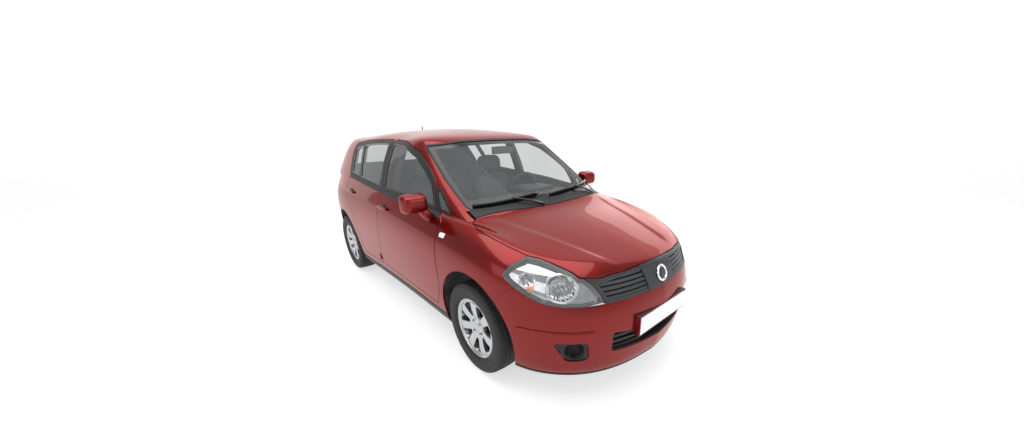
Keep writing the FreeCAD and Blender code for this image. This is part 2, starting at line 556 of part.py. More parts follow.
TAIL_LAMP_SHARES = [(-0.815, 0.650), (-0.850, 0.690), (-1.1, 0.685), (-1.1, 0.455), (-0.930, 0.447), (-0.875, 0.485),
                    (-0.835, 0.560)]
tail_lamp_span = top_block([(-0.80, 0.50), (-1.1, 0.50), (-1.1, 1.2), (-0.80, 1.2)])
tail_lamp_zone = side_block(TAIL_LAMP_SHARES).common(tail_lamp_span).cut(tailgate_hole)
tail_lamp = outer.common(tail_lamp_zone).cut(lamp_depth)

REAR_BUMPER_SHARES = [(-0.700, 0.150), (-1.1, 0.158), (-1.1, 0.372), (-0.99, 0.372), (-0.95, 0.425), (-0.88, 0.425),
                      (-0.84, 0.405), (-0.760, 0.395)]
rear_bumper_zone = side_block(REAR_BUMPER_SHARES)
rear_bumper = outer.common(rear_bumper_zone).cut(rear_arch).cut(tailgate_hole).cut(skin_inner)

FLAP_SHARES = [(-0.613, 0.98, 0.550), (-0.661, 0.98, 0.550), (-0.661, 0.98, 0.640), (-0.613, 0.98, 0.640)]
flap_wire = side_wire(FLAP_SHARES, opening_corner)
FLAP_DEPTH_SHARE = 0.7
flap = outer.common(side_prism(flap_wire, FLAP_DEPTH_SHARE)).cut(skin_inner)
pocket_floor = profile(size("flap_pocket"), size("skin_wall"), size("skin_wall"))
flap_pocket = outer.common(side_prism(grown(flap_wire, gap), FLAP_DEPTH_SHARE)).cut(pocket_floor)

# The welded body: sills, pillars, rails, roof and rear quarters
SILL_LEVEL_SHARE = 0.135
body = outer.cut(joined(wall_inner))
CLIP_SHARE = 0.425
front_clip = side_block([(CLIP_SHARE, -0.1), (CLIP_SHARE, 0.60), (0.470, 0.625), (0.470, 0.66), (0.62, 0.66),
                         (0.62, 1.0), (1.1, 1.0), (1.1, -0.1)])
lower_cut = side_block([(-1.1, 0.0), (1.1, 0.0), (1.1, SILL_LEVEL_SHARE), (-0.76, SILL_LEVEL_SHARE), (-0.80, 0.22),
                        (-1.1, 0.22)])
body = body.cut(lower_cut)
rear_panel = body.common(rear_bumper_zone).common(joined(skin_seat))
body = body.cut(rear_bumper_zone).fuse(rear_panel)
post_x = half_length * CLIP_SHARE
post_y = size("fire_wall_width") / 2 + seam
hinge_post = slab(post_x - hinge_arm, post_x, post_y, post_y + size("hinge_post_width"), SILL_LEVEL_SHARE * height,
                  size("hinge_post_level"))
body = body.fuse(hinge_post)
for tool in (rear_arch, tailgate_hole, tail_lamp_zone, rear_door_hole, front_door_hole, front_arch, front_clip,
             screen_hole, cowl_zone, fender_blank, window(QUARTER_PANE_SHARES, 0)):
    body = body.cut(tool)

pillar_lap = size("pillar_clearance") + size("skin_wall")


def behind_walls(depth):
    return profile(size("door_wall") + depth, size("frame_wall") + depth, size("roof_wall") + depth)


pillar_outer = behind_walls(-pillar_lap)
pillar_inner = behind_walls(size("pillar_clearance") + size("pillar_wall"))
door_space = behind_walls(size("pillar_clearance"))
pillar_shift = size("pillar_width") / half_length
pillar_line = [(x + gap_share, y, z) for x, y, z in DOOR_GAP_SHARES]
pillar_line = [(pillar_line[0][0], pillar_line[0][1], 0.965)] + pillar_line + [(pillar_line[-1][0], 0.95, 0.15)]
pillar_wire = side_wire(pillar_line + [(x + pillar_shift, y, z) for x, y, z in pillar_line[::-1]], seam, 1)
b_pillar = pillar_outer.common(side_prism(pillar_wire, DOOR_DEPTH_SHARE, 1)).cut(pillar_inner)
b_pillar = b_pillar.cut(front_door_hole.cut(door_space))

leaves = [hinge_leaf(x, level, post_x - hinge_arm / 2) for x, level in FRONT_HINGES]
pillar_post_x = size("rear_hinge_place") + size("pillar_width")
leaves += [hinge_leaf(x, level, pillar_post_x) for x, level in REAR_HINGES]
shell = solids_of(body.fuse([b_pillar] + leaves))
feature("body_shell", shell.fuse(mirrored(shell)).cut(mirrored(flap_pocket)).removeSplitter())
feature("windscreen", joined(solids_of(windscreen)))
feature("quarter_glass", Part.makeCompound([solids_of(quarter_pane), mirrored(solids_of(quarter_pane))]))
feature("cowl", joined(solids_of(cowl)))
feature("front_fenders", Part.makeCompound([solids_of(fender), mirrored(solids_of(fender))]))
feature("headlamps", Part.makeCompound([solids_of(lamp), mirrored(solids_of(lamp))]))
feature("tailgate", joined(solids_of(tailgate)))
feature("tailgate_glass", joined(solids_of(tailgate_pane)))
feature("tail_lamps", Part.makeCompound([solids_of(tail_lamp), mirrored(solids_of(tail_lamp))]))
feature("rear_bumper", joined(solids_of(rear_bumper)))
feature("fuel_flap", mirrored(solids_of(flap)))

# Grille: a rim around the opening and curved slats that follow the nose, with a plate
# in the middle; the lower grille has three slats and a bezel round each fog lamp
grille_rim = size("grille_rim")
slat = size("grille_slat")
pitch = size("grille_pitch")
slat_blank = profile(grille_rim, grille_rim, grille_rim)
GRILLE_SLATS = 4
SLAT_START_SHARE = 0.014


def slats(blank, zone, low, step, count, back):
    """Bars at even heights, their fronts on the blank and their backs on the other."""
    made = []
    for i in range(count):
        bar = slab(0, half_length, -overrun, half_width, low + i * step, low + i * step + slat)
        made.append(blank.common(zone).common(bar).cut(back))
    return made


grille_all = outer.common(grille_zone)
grille_rear = joined(grille_back)
rim_inner = [(0.86, GRILLE_LOW_SHARE + 0.010), (1.1, GRILLE_LOW_SHARE + 0.010), (1.1, 0.494), (0.86, 0.494)]
rim_side = top_block([(0.86, 0.60), (0.90, 0.60), (0.942, 0.515), (0.99, 0.46), (1.1, 0.46), (1.1, 1.0), (0.86, 1.0)])
rim = grille_all.cut(grille_rear).cut(side_block(rim_inner).cut(rim_side))
centre_zone = end_prism([(-0.05, 0.40), (0.155, 0.40), (0.205, 0.53), (-0.05, 0.53)], seam, 0.8, 1.1)
centre_plate = grille_all.cut(grille_rear).common(centre_zone)
bars = slats(slat_blank, grille_zone, (GRILLE_LOW_SHARE + SLAT_START_SHARE) * height, pitch, GRILLE_SLATS, grille_rear)
feature("grille", joined(solids_of(rim.fuse([centre_plate] + bars))))

LOWER_SLATS = 3
LOWER_PITCH_SHARE = 1.6
LOWER_SLAT_SHARE = 0.213
NOSE_SHARES = (0.80, 1.1)
lower_front = profile(2 * grille_rim, grille_rim, grille_rim)
lower_back = joined(profile(2 * size("grille_depth"), size("grille_depth"), size("grille_depth")))
lower_ring = end_prism(LOWER_OPENING_SHARES, opening_corner, *NOSE_SHARES, grille_rim)
lower_hole = end_prism(LOWER_OPENING_SHARES, opening_corner, *NOSE_SHARES, -grille_rim)
lower_frame = skin_seat.common(lower_ring).cut(lower_back).cut(lower_hole)
lower_bars = slats(lower_front, lower_ring, LOWER_SLAT_SHARE * height, LOWER_PITCH_SHARE * pitch, LOWER_SLATS,
                   lower_back)
fog_ring = end_prism(FOG_OPENING_SHARES, opening_corner, *NOSE_SHARES, grille_rim)
fog_bezel = skin_seat.common(fog_ring).cut(joined(grille_back))
lower_grille = joined(solids_of(lower_frame.fuse(lower_bars)))
feature("lower_grille", Part.makeCompound([lower_grille, solids_of(fog_bezel), mirrored(solids_of(fog_bezel))]))

plate_front = half_length
plinth_depth = 3 * size("plate_thickness") + overrun
plinth_half = size("plate_width") / 2 + size("plinth_margin")
plinth_high = size("plate_height") + 2 * size("plinth_margin")
plinth = Part.makeBox(plinth_depth, plinth_half + overrun, plinth_high,
                      Vector(plate_front - plinth_depth, -overrun, size("plate_level") - plinth_high / 2))
plinth = plinth.cut(skin_seat.cut(side_block([(1.1, 0), (1.2, 0), (1.2, 1)])))
plinth = plinth.common(Part.makeBox(half_length, half_width, height, Vector(0, 0, 0)))
bumper = bumper.fuse(solids_of(plinth))
feature("front_bumper", joined(solids_of(bumper)))


# Wheels
def bound(piece, **texts):
    for prop, text in texts.items():
        piece.setExpression(prop.replace("__", "."), text)
    return piece


def turned(points):
    """Solid of revolution about Y from radius and width pairs."""
    outline = [Vector(r, w, 0) for r, w in points]
    return Part.Face(Part.makePolygon(outline + outline[:1])).revolve(Vector(0, 0, 0), Vector(0, 1, 0), 360)


tyre_radius = size("tyre_radius")
rim_radius = size("rim_radius")
half_tread = size("tyre_width") / 2
half_rim = size("rim_width") / 2
half_bead = size("tyre_bead_width") / 2
shoulder = size("tyre_shoulder")
rim_wall = size("rim_wall")
lip = size("rim_lip")
tyre_half = [(rim_radius - lip, half_bead), (rim_radius + lip / 2, half_bead + lip / 4),
             (rim_radius + lip * 2, half_tread - seam), (rim_radius + lip * 5, half_tread),
             (tyre_radius - shoulder / 2, half_tread - shoulder / 2), (tyre_radius, half_tread - shoulder)]
tyre_shape = turned(tyre_half + [(r, -w) for r, w in tyre_half[::-1]])

bead = rim_radius - lip - seam
barrel = turned([(bead - rim_wall, half_bead), (bead, half_bead), (bead, -half_bead), (bead - rim_wall, -half_bead)])
hub_radius = size("hub_radius")
spoke = size("spoke_thickness")
HUB_DEPTH_SHARE = 1.6
face_out = half_rim - size("spoke_inset") / 2
hub_back = face_out - spoke * HUB_DEPTH_SHARE
dish = turned([(0, face_out), (hub_radius / 2, face_out), (hub_radius, face_out - lip / 2),
               (size("window_outer"), face_out), (bead - rim_wall / 2, half_bead),
               (bead - rim_wall / 2, half_bead - spoke), (size("window_outer"), face_out - spoke),
               (hub_radius, hub_back), (0, hub_back)])
SPOKES = 7
# half width of a window between two spokes, at its inner and outer edge
WINDOW_SHARES = (0.32, 0.70)
half_pitch = math.pi / SPOKES
for i in range(SPOKES):
    middle = (2 * i + 1) * half_pitch
    corners = []
    for radius, share in ((size("window_inner"), WINDOW_SHARES[0]), (size("window_outer"), WINDOW_SHARES[1]),
                          (size("window_outer"), -WINDOW_SHARES[1]), (size("window_inner"), -WINDOW_SHARES[0])):
        turn = middle + half_pitch * share
        corners.append(Vector(radius * math.sin(turn), -half_rim, radius * math.cos(turn)))
    dish = dish.cut(prism(rounded_wire(corners, lip), Vector(0, 2 * half_rim, 0)))
rim_shape = barrel.fuse(dish).removeSplitter()

axle_z = size("axle_level")
half_track = size("track") / 2
WHEELS = [("front_left", front_axle, 1), ("front_right", front_axle, -1), ("rear_left", rear_axle, 1),
          ("rear_right", rear_axle, -1)]
for name, axle, hand in WHEELS:
    for kind, shape in (("tyre_", tyre_shape), ("rim_", rim_shape)):
        piece = feature(kind + name, shape if hand > 0 else mirrored(shape))
        piece.Placement = Placement(Vector(axle, hand * half_track, axle_z), Rotation())
        bound(piece, Placement__Base__z="sizes.axle_level")


def cylinder(radius, length, base, direction=(0, 0, 1)):
    return Part.makeCylinder(radius, length, Vector(*base), Vector(*direction))


def plate(points, thickness, x=None, y=None, z=None):
    """Flat plate from an outline drawn square to the one axis that is given."""
    if x is not None:
        outline, push = [Vector(x, a, b) for a, b in points], Vector(thickness, 0, 0)
    elif y is not None:
        outline, push = [Vector(a, y, b) for a, b in points], Vector(0, thickness, 0)
    else:
        outline, push = [Vector(a, b, z) for a, b in points], Vector(0, 0, thickness)
    return Part.Face(Part.makePolygon(outline + outline[:1])).extrude(push)


# Front knuckles. Each turns about its kingpin, which runs from the ball joint on the
# lower arm up to the strut's top mount, leaning inward.
disc_radius = size("disc_radius")
disc_thickness = size("disc_thickness")
ball_y, ball_z = size("ball_joint_half"), size("ball_joint_level")
mount_y, mount_z = size("strut_mount_half"), size("strut_mount_level")
lean = (mount_y - ball_y) / (mount_z - ball_z)
kingpin = Vector(0, lean, 1).normalize()
hub_end = half_track + hub_back - seam


def kingpin_y(level):
    return ball_y + (level - ball_z) * lean


knuckle = cylinder(hub_radius, size("hub_length"), (front_axle, hub_end, axle_z), (0, -1, 0))
disc_y = hub_end - size("hub_length") / 3
knuckle = knuckle.fuse(cylinder(disc_radius, disc_thickness, (front_axle, disc_y, axle_z), (0, -1, 0)))
upright_low = ball_z
upright_high = axle_z + disc_radius
upright = plate([(kingpin_y(upright_low) - disc_thickness, upright_low), (hub_end - size("hub_length"), upright_low),
                 (hub_end - size("hub_length") / 2, axle_z), (kingpin_y(upright_high) + disc_thickness, upright_high),
                 (kingpin_y(upright_high) - disc_thickness, upright_high)], 2 * disc_thickness,
                x=front_axle - disc_thickness)
caliper = cylinder(disc_radius + disc_thickness, 2 * disc_thickness, (front_axle, disc_y + disc_thickness / 4, axle_z),
                   (0, -1, 0))
caliper = caliper.cut(cylinder(disc_radius + seam, disc_thickness + 2 * seam, (front_axle, disc_y + seam, axle_z),
                               (0, -1, 0)))
caliper = caliper.common(slab(front_axle - 2 * disc_radius, front_axle - disc_radius / 2, 0, half_width,
                              axle_z - hub_radius, axle_z + hub_radius))
carrier = slab(front_axle - disc_radius, front_axle, disc_y - 2 * disc_thickness, disc_y - disc_thickness - seam,
               axle_z - disc_thickness, axle_z + disc_thickness)
steer_arm = slab(front_axle - disc_radius, front_axle, kingpin_y(axle_z) - disc_thickness, kingpin_y(axle_z),
                  axle_z - size("hub_length"), axle_z - size("hub_length") + disc_thickness)
ball = Part.makeSphere(size("ball_radius"), Vector(front_axle, ball_y, ball_z))
knuckle = knuckle.fuse([upright, caliper, carrier, steer_arm, ball])

# the strut and its spring, turned about the kingpin
strut = size("strut_radius")
spring = size("spring_radius")
coil = size("spring_coil_radius")
COILS = 6
top_room = seam + spring * abs(lean)
foot = Vector(front_axle, kingpin_y(axle_z), axle_z)
spring_low = (size("spring_seat_level") - axle_z) / kingpin.z
spring_high = (mount_z - top_room - axle_z) / kingpin.z
turn_step = (spring_high - spring_low) / COILS
outline = [(0, 0), (strut, 0), (strut, spring_low - 2 * coil), (spring, spring_low - 2 * coil)]
for i in range(COILS):
    level = spring_low + turn_step * i
    outline += [(spring, level), (spring - 2 * coil, level + turn_step / 2)]
outline += [(spring, spring_high), (0, spring_high)]
strut_points = [Vector(r, 0, h) for r, h in outline]
strut_shape = Part.Face(Part.makePolygon(strut_points + strut_points[:1])).revolve(
    Vector(0, 0, 0), Vector(0, 0, 1), 360)
strut_shape.Placement = Placement(foot, Rotation(Vector(0, 0, 1), kingpin))
knuckle = knuckle.fuse(strut_shape)
for hand, side in ((1, "left"), (-1, "right")):
    feature("front_knuckle_" + side, knuckle if hand > 0 else mirrored(knuckle))

# Rear axle: trailing arms that swing in bushings, twist beam, brake drums on stub axles
arm_y = size("trailing_arm_half")
arm_half = disc_thickness
arm_front = rear_axle + size("trailing_arm_length")
bushing = size("bushing_radius")
bolt = size("bolt_radius")
beam_x = rear_axle + disc_radius
DRUM_SHARE = 0.8
drum_radius = disc_radius * DRUM_SHARE
half_axle = cylinder(drum_radius, size("hub_length"), (rear_axle, hub_end, axle_z), (0, -1, 0))
half_axle = half_axle.fuse([
    cylinder(hub_radius / 2, hub_end - arm_y, (rear_axle, arm_y, axle_z), (0, 1, 0)),
    slab(rear_axle - hub_radius, arm_front, arm_y - arm_half, arm_y + arm_half, axle_z - arm_half, axle_z + arm_half),
    cylinder(bushing, 2 * arm_half, (arm_front, arm_y - arm_half, axle_z), (0, 1, 0))])
half_axle = half_axle.cut(cylinder(bolt + seam, 2 * arm_half, (arm_front, arm_y - arm_half, axle_z), (0, 1, 0)))
beam = slab(beam_x, beam_x + 3 * arm_half, -arm_y, arm_y, axle_z - arm_half, axle_z + arm_half)
feature("rear_axle", beam.fuse([half_axle, mirrored(half_axle)]).removeSplitter())

# Floor pan: floor sheet, heel board, raised deck, fire wall, front rails, spare wheel
# well, wheel houses, strut towers, axle brackets, engine mounts and seat runners
sheet_wall = size("floor_wall")
floor_top = SILL_LEVEL_SHARE * height - seam
floor_half = size("floor_width") / 2
well_y = size("wheel_well_inboard")
arch_z = axle_z + size("arch_rise")
arch_radius = size("arch_radius")
fire_x = front_axle - arch_radius - disc_thickness
heel_x = size("heel_board")
deck_top = size("rear_deck_level")
deck_half = size("fire_wall_width") / 2
arch_edge = rear_axle + arch_radius
TAIL_SHARE = -0.92
tail_x = half_length * TAIL_SHARE
rail = size("rail_section")
rail_low = size("rail_level")
rail_front = size("rail_front")

pan = slab(heel_x, fire_x, -floor_half, floor_half, floor_top - sheet_wall, floor_top)
deck_rear = rear_axle + math.sqrt((arch_radius + seam + sheet_wall / 2) ** 2 - (deck_top - arch_z) ** 2)
deck = slab(deck_rear, heel_x + sheet_wall, -deck_half, deck_half, deck_top - sheet_wall, deck_top)
boot = slab(tail_x, arch_edge + 2 * sheet_wall, -well_y, well_y, deck_top - sheet_wall, deck_top)
heel = slab(heel_x, heel_x + sheet_wall, -deck_half, deck_half, floor_top - sheet_wall, deck_top)
fire = slab(fire_x, fire_x + sheet_wall, -deck_half, deck_half, floor_top - sheet_wall, size("fire_wall_level"))
tunnel_half = size("tunnel_width") / 2
tunnel = slab(heel_x, fire_x, -tunnel_half, tunnel_half, floor_top - sheet_wall, floor_top + tunnel_half)
tunnel_roof = floor_top + tunnel_half - sheet_wall
tunnel_room = slab(heel_x, fire_x + sheet_wall, sheet_wall - tunnel_half, tunnel_half - sheet_wall,
                   floor_top - sheet_wall, tunnel_roof)
spare = size("spare_well_radius")
spare_x = size("spare_well_centre")
spare_low = deck_top - size("spare_well_depth")
well = cylinder(spare, deck_top - spare_low, (spare_x, 0, spare_low))
well_room = cylinder(spare - sheet_wall, deck_top - spare_low, (spare_x, 0, spare_low + sheet_wall))

side_room = behind_walls(seam)


def wheel_house(axle, room):
    """Half ring over the wheel with an inner wall, trimmed to the panels outside it."""
    start, depth = well_y - sheet_wall, half_width - well_y
    wide = cylinder(arch_radius + seam + sheet_wall, depth + sheet_wall, (axle, start, arch_z), (0, 1, 0))
    wide = wide.cut(cylinder(arch_radius + seam, depth + sheet_wall, (axle, start + sheet_wall, arch_z), (0, 1, 0)))
    over = slab(axle - half_length, axle + half_length, 0, half_width, arch_z + 2 * sheet_wall, height)
    return wide.common(over).common(room)


rear_house = wheel_house(rear_axle, side_room)
strip = slab(fire_x + 2 * disc_thickness, half_length, 0, half_width, 0, height)
front_house = wheel_house(front_axle, skin_seat).common(strip)
tower_half = size("tower_width") / 2
tower_out = kingpin_y(arch_z + arch_radius) + spring + 2 * coil
tower_rear, tower_front = front_axle - tower_half, front_axle + tower_half
front_house = front_house.cut(slab(tower_rear, tower_front, well_y, tower_out, arch_z, height))
tower = slab(front_axle - tower_half, front_axle + tower_half, well_y - sheet_wall, tower_out, mount_z,
              mount_z + sheet_wall)
TOWER_FOOT_SHARE = 0.70
gusset_outline = [(well_y - sheet_wall, arch_z + arch_radius * TOWER_FOOT_SHARE), (well_y - sheet_wall, mount_z),
                  (tower_out, mount_z), (tower_out, arch_z + arch_radius)]
tower_wall = slab(front_axle - tower_half, front_axle + tower_half, well_y - sheet_wall, well_y,
                   rail_low + rail - sheet_wall, mount_z)
gussets = [plate(gusset_outline, sheet_wall, x=x) for x in (tower_rear, tower_front - sheet_wall)]
half_rail = slab(fire_x, rail_front, well_y - rail, well_y, rail_low, rail_low + rail)
bracket_low = axle_z - bushing - seam
brackets = []
for y in (arm_y - arm_half - seam - sheet_wall, arm_y + arm_half + seam):
    brackets.append(slab(arm_front - bushing, arm_front + bushing, y, y + sheet_wall, bracket_low,
                         deck_top - sheet_wall))
brackets.append(cylinder(bolt, 2 * (arm_half + seam) + sheet_wall,
                         (arm_front, arm_y - arm_half - seam - sheet_wall / 2, axle_z), (0, 1, 0)))
engine_half = size("engine_width") / 2
mount_arm = slab(front_axle, front_axle + rail, engine_half + seam, well_y - rail, rail_low, rail_low + rail / 2)
seat_y0, seat_y1 = size("seat_inner"), size("seat_inner") + size("seat_width")
seat_low = floor_top + size("seat_riser")
seat_front = size("seat_front")
seat_rear = seat_front - size("seat_length")
runner = size("seat_runner")
runners = [slab(seat_rear + runner, seat_front - runner, y, y + runner, floor_top, seat_low - seam)
           for y in (seat_y0 + runner, seat_y1 - 2 * runner)]
half_parts = [rear_house, front_house, tower, tower_wall, half_rail, mount_arm] + gussets + brackets + runners
half_body = half_parts[0].fuse(half_parts[1:])
cross = slab(rail_front - rail / 2, rail_front, -well_y, well_y, rail_low, rail_low + rail)
platform = pan.fuse([deck, boot, heel, fire, well, cross, tunnel, half_body, mirrored(half_body)])
feature("floor_pan", platform.cut(well_room).cut(tunnel_room).removeSplitter())

# Front subframe: frame under the engine, legs up to the rails, lower arms out to the
# ball joints
sub_low = size("subframe_level")
sub_high = sub_low + 2 * disc_thickness
leg = 2 * disc_thickness
sub_half = well_y - leg
sub_rear, sub_front = front_axle - 2 * disc_radius, front_axle + disc_radius
sub = slab(sub_rear, sub_front, -sub_half, sub_half, sub_low, sub_high)
sub = sub.cut(slab(sub_rear + 2 * leg, sub_front - 2 * leg, -sub_half + 2 * leg, sub_half - 2 * leg, 0, height))
legs = [slab(x, x + leg, y, y + leg, sub_high, rail_low - seam)
        for x in (sub_rear, sub_front - leg) for y in (-sub_half, sub_half - leg)]
tip = size("ball_radius") + disc_thickness / 2
arm_z = ball_z - size("ball_radius") - seam - disc_thickness
arm_rear, arm_front_x = front_axle - size("lower_arm_width") / 2, front_axle + size("lower_arm_width") / 4
arm = plate([(arm_rear, sub_half), (front_axle - tip, ball_y), (front_axle - tip / 2, ball_y + tip),
             (front_axle + tip / 2, ball_y + tip), (front_axle + tip, ball_y), (arm_front_x, sub_half)],
            disc_thickness, z=arm_z)
arm_root = slab(arm_rear, arm_front_x, sub_half - leg, sub_half, arm_z, sub_low)
feature("front_subframe", sub.fuse(legs + [arm, mirrored(arm), arm_root, mirrored(arm_root)]).removeSplitter())

engine = doc.addObject("Part::Box", "engine_block")
bound(engine, Length="sizes.engine_length", Width="sizes.engine_width", Height="sizes.engine_height")
engine_x = front_axle - size("engine_length") / 3
engine.Placement = Placement(Vector(engine_x, -engine_half, size("engine_level")), Rotation())
PIECES["engine_block"] = engine

# Exhaust pipe under the tunnel with its silencer across the tail; tank under the deck
pipe = size("exhaust_radius")
pipe_z = size("exhaust_level")
muffler = size("muffler_radius")
muffler_y = -size("muffler_offset")
muffler_x = tail_x + disc_radius
OUTLET_SHARE = -0.968
ELBOW_SHARE = 1.08
outlet_x = half_length * OUTLET_SHARE
outlet_z = pipe_z - muffler / 2
hanger = size("hanger_radius")
down_x = engine_x + 2 * pipe
exhaust = cylinder(pipe, down_x - heel_x, (heel_x, 0, pipe_z), (1, 0, 0))
down_pipe = cylinder(pipe, size("engine_level") - seam - pipe_z, (down_x, 0, pipe_z))
elbows = [Part.makeSphere(ELBOW_SHARE * pipe, Vector(x, 0, pipe_z)) for x in (heel_x, down_x)]
link_run = Vector(muffler_x + size("muffler_length") - heel_x, muffler_y, 0)
link = Part.makeCylinder(pipe, link_run.Length, Vector(heel_x, 0, pipe_z), link_run)
silencer = cylinder(muffler, size("muffler_length"), (muffler_x, muffler_y, pipe_z), (1, 0, 0))
outlet = cylinder(pipe, muffler_x - outlet_x, (outlet_x, muffler_y, outlet_z), (1, 0, 0))
outlet = outlet.cut(cylinder(pipe - sheet_wall / 2, disc_radius, (outlet_x, muffler_y, outlet_z), (1, 0, 0)))
hangers = [cylinder(hanger, tunnel_roof - seam - pipe_z, (x, 0, pipe_z)) for x in (heel_x + leg, 0, fire_x - leg)]
hangers.append(cylinder(hanger, deck_top - sheet_wall - seam - pipe_z, (muffler_x + 2 * leg, muffler_y, pipe_z)))
feature("exhaust", exhaust.fuse([down_pipe, link, silencer, outlet] + elbows + hangers).removeSplitter())

tank_low = floor_top + disc_thickness / 2
feature("fuel_tank", slab(arm_front + 2 * bushing, heel_x - leg, disc_radius, arm_y - 2 * leg, tank_low,
                           deck_top - sheet_wall - seam))

# Cabin: dashboard over the fire wall, with the steering column
dash_half = size("dash_width") / 2
dash_top = size("dash_level")
dash_front = fire_x + size("dash_overhang")
fire_top = size("fire_wall_level")
DASH_SHARES = [(0.0, 1.0), (0.86, 1.0), (0.94, 0.76), (0.88, 0.30), (0.60, 0.0), (0.0, 0.0)]
dash_length = dash_front - size("dash_rear")
dash_height = dash_top - size("dash_low")
dash_points = [Vector(dash_front - dash_length * a, 0, size("dash_low") + dash_height * b) for a, b in DASH_SHARES]
dash = prism(rounded_wire(dash_points, size("glass_corner")), Vector(0, dash_half, 0))
under_scuttle = slab(fire_x - seam, dash_front, 0, dash_half, size("dash_low"), fire_top + seam)
dash = joined(dash.cut(under_scuttle).common(profile(*[size("hood_wall") + gap] * 3)))
wheel_y = size("steering_wheel_half")
wheel_x, wheel_z = size("steering_wheel_centre"), size("steering_wheel_level")
tilt = math.radians(size("column_tilt"))
column_axis = Vector(-math.cos(tilt), 0, math.sin(tilt))
column = size("column_radius")
boss_deep = size("steering_boss")
column_start = Vector(wheel_x, wheel_y, wheel_z) - column_axis * (boss_deep + seam)
column_body = Part.makeCylinder(column, dash_length / 2, column_start, column_axis * -1)
feature("dashboard", dash.fuse(column_body))

steering_radius = size("steering_wheel_radius")
steering_rim = size("steering_rim_radius")
steering = Part.makeTorus(steering_radius, steering_rim).fuse([
    cylinder(column, boss_deep, (0, 0, -boss_deep)),
    slab(-steering_rim, steering_rim, -steering_radius, steering_radius, -steering_rim, 0),
    slab(-steering_radius, 0, -steering_rim, steering_rim, -steering_rim, 0)])
piece = feature("steering_wheel", steering)
piece.Placement = Placement(Vector(wheel_x, wheel_y, wheel_z), Rotation(Vector(0, 1, 0), size("column_tilt") - 90))

# Seats, drawn in the side view from the front of the cushion: how far back as a share
# of the cushion's length, how high as a share of the seat's height
FRONT_SEAT_SHARES = [(0.0, 0.0), (0.0, 0.14), (0.04, 0.18), (0.68, 0.155), (0.76, 0.20), (0.98, 0.76), (1.20, 0.76),
                     (1.07, 0.40), (1.0, 0.10), (0.98, 0.0)]
HEAD_REST_SHARES = [(1.03, 0.80), (1.04, 1.0), (1.17, 1.0), (1.22, 0.80)]
REAR_SEAT_SHARES = [(0.0, 0.0), (0.0, 0.20), (0.04, 0.24), (0.72, 0.19), (0.82, 0.26), (1.10, 0.98), (1.30, 0.98),
                    (1.10, 0.20), (1.02, 0.0)]


def seat_solid(shares, front, length, low, high, y0, y1):
    points = [Vector(front - length * a, y0, low + high * b) for a, b in shares]
    return prism(rounded_wire(points, size("seat_corner")), Vector(0, y1 - y0, 0))


seat_length = size("seat_length")
seat_height = size("seat_height")
head_inset = size("head_rest_inset")
post = size("bolt_radius")
front_seat = seat_solid(FRONT_SEAT_SHARES, seat_front, seat_length, seat_low, seat_height, seat_y0, seat_y1)
head_rest = seat_solid(HEAD_REST_SHARES, seat_front, seat_length, seat_low, seat_height, seat_y0 + head_inset,
                       seat_y1 - head_inset)
POST_SHARE = 1.10
POST_LOW_SHARE, POST_HIGH_SHARE = 0.70, 0.86
posts = [cylinder(post, seat_height * (POST_HIGH_SHARE - POST_LOW_SHARE),
                  (seat_front - seat_length * POST_SHARE, y, seat_low + seat_height * POST_LOW_SHARE))
         for y in (seat_y0 + head_inset + runner, seat_y1 - head_inset - runner)]
front_seat = front_seat.fuse([head_rest] + posts)
feature("front_seats", Part.makeCompound([front_seat, mirrored(front_seat)]))
rear_half = size("rear_seat_width") / 2
rear_seat = seat_solid(REAR_SEAT_SHARES, size("rear_seat_front"), size("rear_seat_length"), deck_top + seam,
                       size("rear_seat_height"), -rear_half, rear_half)
house_room = cylinder(arch_radius + 2 * sheet_wall + gap, half_width, (rear_axle, well_y - sheet_wall - gap, arch_z),
                      (0, 1, 0))
feature("rear_seat", rear_seat.cut(house_room).cut(mirrored(house_room)))

# Mirrors on stalks from the doors' upper front corners, and the roof antenna
skin_clear = half_blank([-seam] * len(SKIN_SHARES))
mirror_x, mirror_y, mirror_z = size("mirror_front"), size("mirror_half"), size("mirror_level")
pod = slab(mirror_x - size("mirror_depth"), mirror_x, mirror_y, mirror_y + size("mirror_width"), mirror_z,
            mirror_z + size("mirror_height"))
pod = pod.makeFillet(size("mirror_corner"), pod.Edges)
foot = size("mirror_foot")
STALK_SHARES = [(-2.0, -1.0), (0.4, -1.0), (1.6, 0.0), (1.6, 0.6), (0.2, 0.6), (-0.6, 0.0), (-2.0, 0.0)]
stalk = plate([(mirror_y + foot * a, mirror_z + foot * b) for a, b in STALK_SHARES], foot, x=mirror_x - 1.5 * foot)
mirror = pod.fuse(stalk).cut(skin_clear)
for hand, side in ((1, "left"), (-1, "right")):
    feature("mirror_" + side, solids_of(mirror) if hand > 0 else mirrored(solids_of(mirror)))

antenna_x = size("antenna_place")
mast = size("antenna_radius")
antenna_low = Vector(antenna_x, 0, size("antenna_top") - size("antenna_length"))
antenna = Part.makeCone(2 * mast, mast, size("antenna_length"), antenna_low)
feature("antenna", solids_of(antenna.cut(joined(skin_clear))))

doc.recompute()
broken = [o.Name for o in doc.Objects if "Invalid" in o.State or "Error" in o.State]
for name, piece in PIECES.items():
    if piece.Shape.isNull() or not piece.Shape.isValid():
        broken.append(name)
if broken:
    raise RuntimeError("pieces that failed: " + ", ".join(broken))
os.makedirs("parts", exist_ok=True)
for name, piece in PIECES.items():
    piece.Shape.exportStep("parts/" + name + ".step")
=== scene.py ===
# %% [markdown]
# A five-door hatchback. The construction comes packed as a fixed frame: every solid piece, where it
# sits and what it moves with. This script dresses that frame. Load it first. Nothing that is added may
# be bigger than the car itself.

# %% Load the frame
import json
import math

import bpy
import numpy as np
from mathutils import Matrix, Vector


